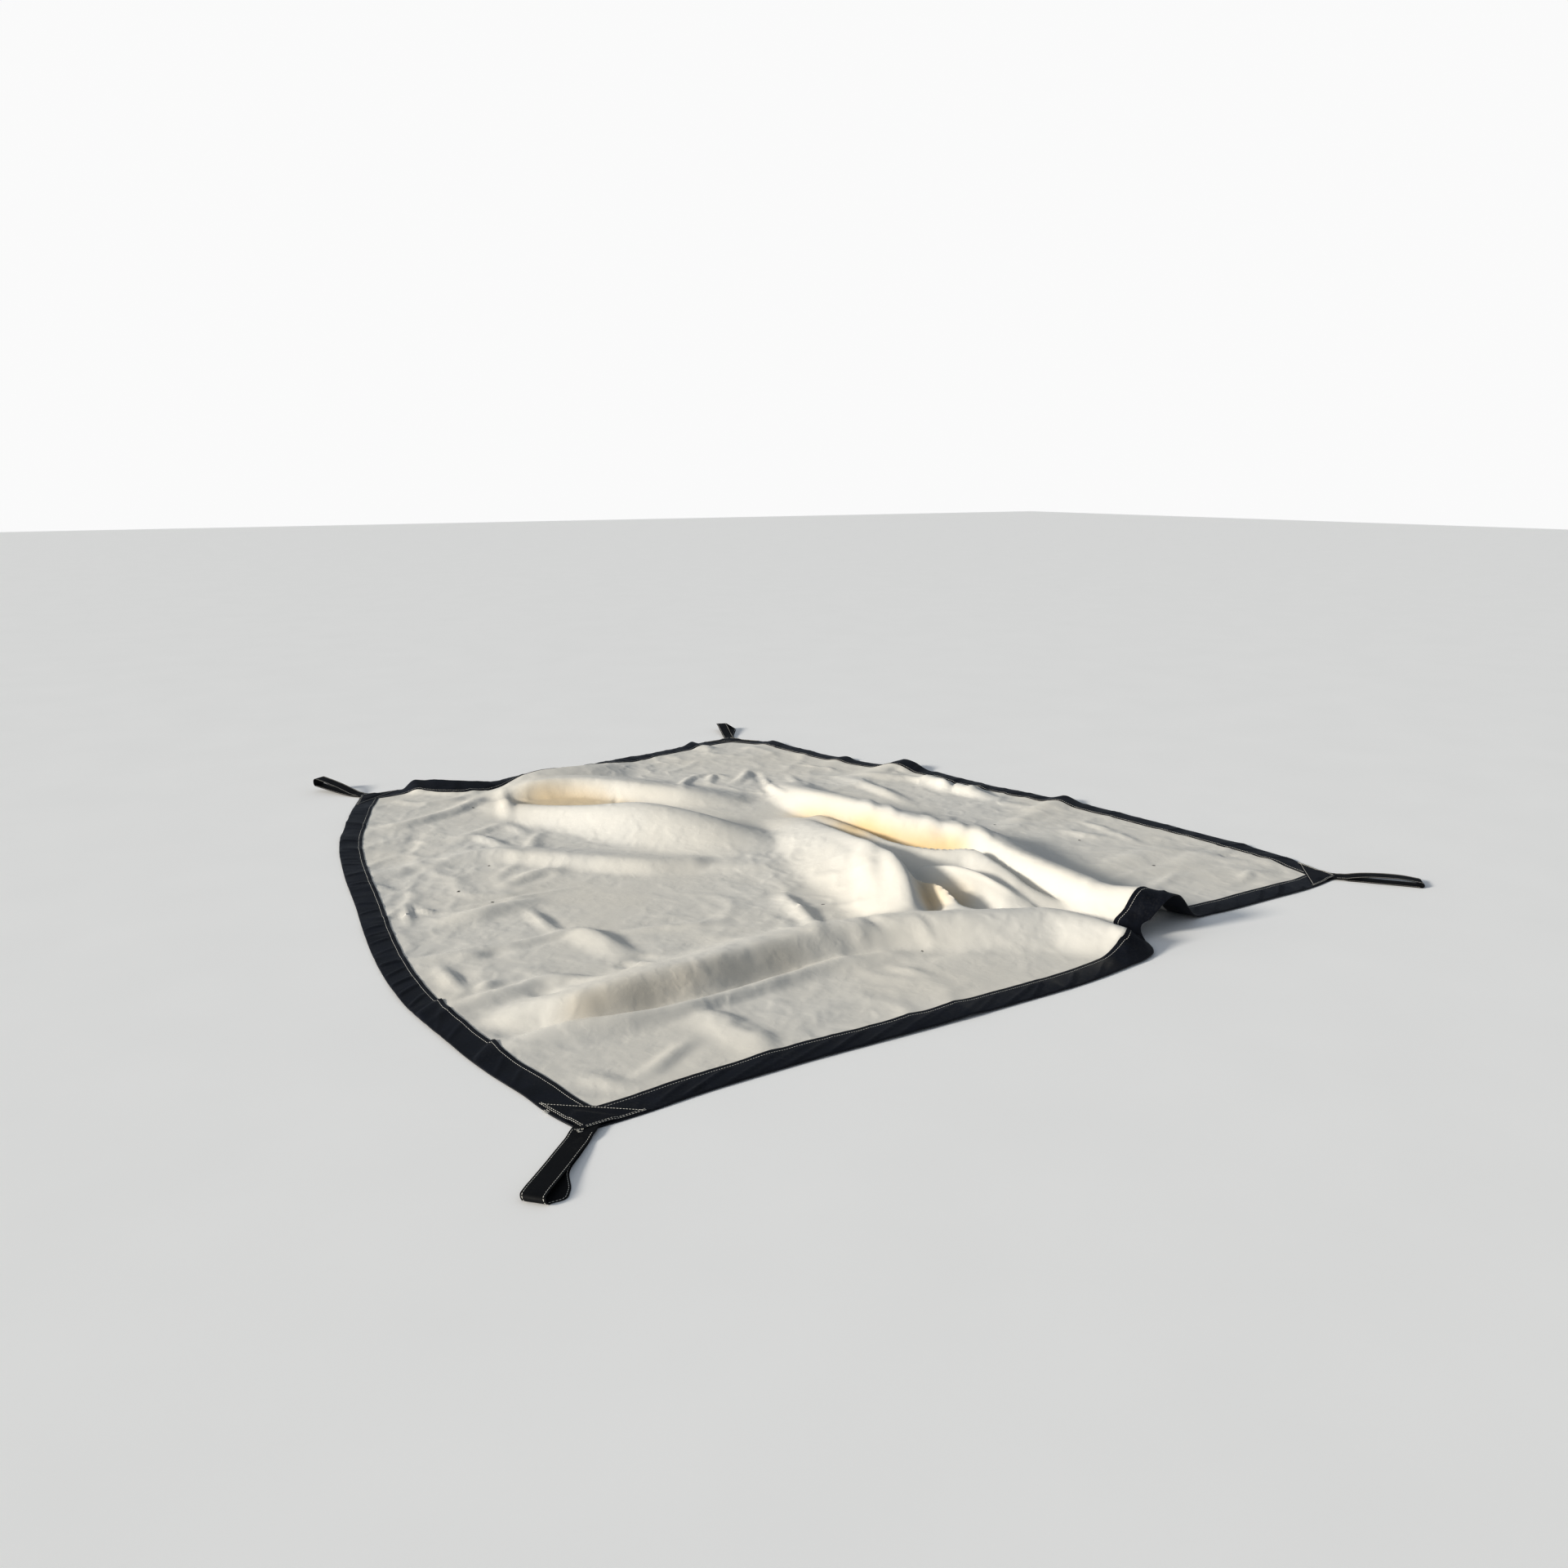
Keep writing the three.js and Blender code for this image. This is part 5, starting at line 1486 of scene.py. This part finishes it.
def coated_cloth():
    finish, tree, shader, place = new_finish(
        "coated_cloth", Specular_IOR_Level=0.18, Sheen_Weight=0.08
    )
    broad = clouds(tree, place, 1.7, 3.0)
    patchy = clouds(tree, place, 8.0, 5.0, Roughness=0.6)
    colour = blend(tree, spread(tree, broad, 0.35, 0.65, 0.0, 1.0), CREAM, GREY_CREAM)
    colour = blend(tree, spread(tree, patchy, 0.3, 0.7, 0.0, 0.10), colour, FADED_CREAM)
    # Painted warm shade: a warm tint in the hollows and on the front ridge's shaded face.
    warm_shade_paint = put(tree, "Attribute", attribute_name="warm_shade_paint").outputs["Fac"]
    colour = blend(tree, warm_shade_paint, colour, WARM_SHADE_COLOUR)
    marks = None
    for x, y, size in SPECKS:
        spot = (x - MIDDLE[0], y - MIDDLE[1], SPECK_HEIGHT)
        mark = use(tree, "speck", Place=place, Spot=spot, Size=size)
        marks = mark if marks is None else sums(tree, "MAXIMUM", marks, mark)
    tree.links.new(blend(tree, marks, colour, SPECK), shader["Base Color"])
    tree.links.new(spread(tree, patchy, 0.3, 0.7, 0.50, 0.64), shader["Roughness"])
    crease = use(tree, "crinkle", Place=place, Scale=8.0)
    crease = sums(tree, "MULTIPLY", crease, spread(tree, broad, 0.4, 0.6, 0.3, 1.0))
    small = use(tree, "crinkle", Place=place, Scale=21.0)
    small = sums(tree, "MULTIPLY", small, spread(tree, patchy, 0.4, 0.6, 0.2, 1.0))
    woven = use(tree, "weave", Cut=cut_of(tree), Threads=900.0)
    bumped = raise_by(tree, crease, 0.0026, 0.6)
    bumped = raise_by(tree, small, 0.0006, 0.5, bumped)
    bumped = raise_by(tree, woven, 0.00012, 0.15, bumped)
    tree.links.new(bumped, shader["Normal"])
    return finish


def black_tape(name, threads, roughness, colour, dusty):
    finish, tree, shader, place = new_finish(name, Specular_IOR_Level=0.20)
    # Painted sheen: the tape is lighter in noisy patches, and its gloss follows the same noise.
    sheen_noise = clouds(tree, place, 24.0, 4.0)
    sheen_colour = (*(PAINTED_SHEEN * part for part in colour[:3]), 1)
    shade = blend(tree, spread(tree, sheen_noise, 0.35, 0.7, 0.0, 1.0), colour, sheen_colour)
    dust = use(tree, "dust", Place=place, Cover=dusty)
    tree.links.new(blend(tree, dust, shade, DUST), shader["Base Color"])
    gloss = spread(tree, sheen_noise, 0.3, 0.7, roughness - 0.06, roughness + 0.1)
    tree.links.new(gloss, shader["Roughness"])
    woven = use(tree, "weave", Cut=cut_of(tree), Threads=threads)
    bumped = raise_by(tree, use(tree, "crinkle", Place=place, Scale=30.0), 0.0004, 0.2)
    bumped = raise_by(tree, woven, 0.00025, 0.35, bumped)
    tree.links.new(bumped, shader["Normal"])
    return finish


def white_thread():
    finish, tree, shader, place = new_finish("white_thread", Specular_IOR_Level=0.3)
    grime = use(tree, "dust", Place=place, Cover=0.7)
    tree.links.new(blend(tree, grime, THREAD_WHITE, THREAD_GRIME), shader["Base Color"])
    feeds = {"Vector": cut_of(tree), "Scale": 420.0, "Distortion": 0.5}
    twist = put(tree, "TexWave", feeds, bands_direction="DIAGONAL").outputs[1]
    tree.links.new(spread(tree, twist, 0.0, 1.0, 0.65, 0.85), shader["Roughness"])
    tree.links.new(raise_by(tree, twist, 0.0002, 0.4), shader["Normal"])
    return finish


def pale_floor():
    finish, tree, shader, place = new_finish("pale_floor", Specular_IOR_Level=0.1)
    grain = clouds(tree, place, 3.0, 4.0)
    tree.links.new(blend(tree, grain, FLOOR_PALE, FLOOR_PALER), shader["Base Color"])
    tree.links.new(spread(tree, grain, 0.3, 0.7, 0.75, 0.85), shader["Roughness"])
    return finish


# Making up the blanket.

cloth_finish = coated_cloth()
tape_finish = black_tape("black_tape", 700.0, roughness=0.40, colour=TAPE_BLACK, dusty=0.10)
patch_finish = black_tape("black_patch", 650.0, roughness=0.52, colour=PATCH_BLACK, dusty=0.12)
strap_finish = black_tape("black_strap", 420.0, roughness=0.58, colour=STRAP_BLACK, dusty=0.08)
thread_finish = white_thread()
stitch = one_stitch()

cloth = make_cloth(cloth_finish)
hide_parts("cloth")
sewn_on = []
for side in EDGES:
    binding, seams = make_binding(side, tape_finish)
    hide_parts(f"binding_{side}")
    sewn_on += [binding, sew(f"binding_{side}_stitches", seams, stitch, thread_finish)]
for name in LOOPS:
    patch, seams = make_patch(name, patch_finish)
    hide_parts(f"patch_{name}")
    sewn_on += [patch, sew(f"patch_{name}_stitches", seams, stitch, thread_finish)]
    loop, seams = make_loop(name, strap_finish)
    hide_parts(f"loop_{name}")
    sewn_on += [loop, sew(f"loop_{name}_stitches", seams, stitch, thread_finish)]
for piece in [cloth, *sewn_on]:
    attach(piece, "root")

# Floor, light and camera.

FLOOR_SIZE = 60
FLOOR_DROP = 0.0005  # keeps the floor just clear of the cloth
SUN_WAY = (0.98, -0.19)  # the way that the light goes over the ground
SKY_COLOUR, SKY_STRENGTH = (0.80, 0.89, 1.0, 1), 0.33
BACKDROP_COLOUR, BACKDROP_STRENGTH = (0.90, 0.90, 0.90, 1), 1.0
CAMERA_PLACE = (-2.04585, -3.38810, 1.250)
CAMERA_DOWN = 15
CAMERA_TURN = -32

bpy.ops.object.select_all(action="DESELECT")
bpy.ops.mesh.primitive_plane_add(size=FLOOR_SIZE, location=(0, 0, -FLOOR_DROP))
floor = bpy.context.active_object
floor.name = "floor"
floor.data.materials.append(pale_floor())


def add_sun(name, energy, width, colour, height):
    """A sun whose width in the sky and height above the ground are in degrees."""
    tilt = math.radians(height)
    level = (part * math.cos(tilt) for part in SUN_WAY)
    sun = bpy.data.objects.new(name, bpy.data.lights.new(name, "SUN"))
    sun.data.energy = energy
    sun.data.angle = math.radians(width)
    sun.data.color = colour
    sun.rotation_euler = Vector((*level, -math.sin(tilt))).to_track_quat("-Z", "Y").to_euler()
    bpy.context.collection.objects.link(sun)


add_sun("sun", energy=3.5, width=9, colour=(1.0, 0.94, 0.84), height=18)
add_sun("sun_glow", energy=1.2, width=60, colour=(1.0, 0.95, 0.87), height=14)

world = bpy.data.worlds.new("studio")
world.use_nodes = True
tree = world.node_tree
sky = tree.nodes["Background"]
sky.inputs["Color"].default_value = SKY_COLOUR
sky.inputs["Strength"].default_value = SKY_STRENGTH
backdrop = put(tree, "Background", {"Color": BACKDROP_COLOUR, "Strength": BACKDROP_STRENGTH})
seen = put(tree, "LightPath").outputs["Is Camera Ray"]
both = put(tree, "MixShader", {0: seen, 1: sky.outputs[0], 2: backdrop.outputs[0]})
tree.links.new(both.outputs[0], tree.nodes["World Output"].inputs["Surface"])
bpy.context.scene.world = world
bpy.context.scene.view_settings.view_transform = "Standard"
bpy.context.scene.view_settings.exposure = 0.10
bpy.context.scene.view_settings.gamma = 0.85

camera = bpy.data.objects.new("camera", bpy.data.cameras.new("camera"))
camera.location = CAMERA_PLACE
camera.rotation_euler = (math.radians(90 - CAMERA_DOWN), 0, math.radians(CAMERA_TURN))
camera.data.lens = 26.25
camera.data.sensor_width = 36
bpy.context.collection.objects.link(camera)
bpy.context.scene.camera = camera
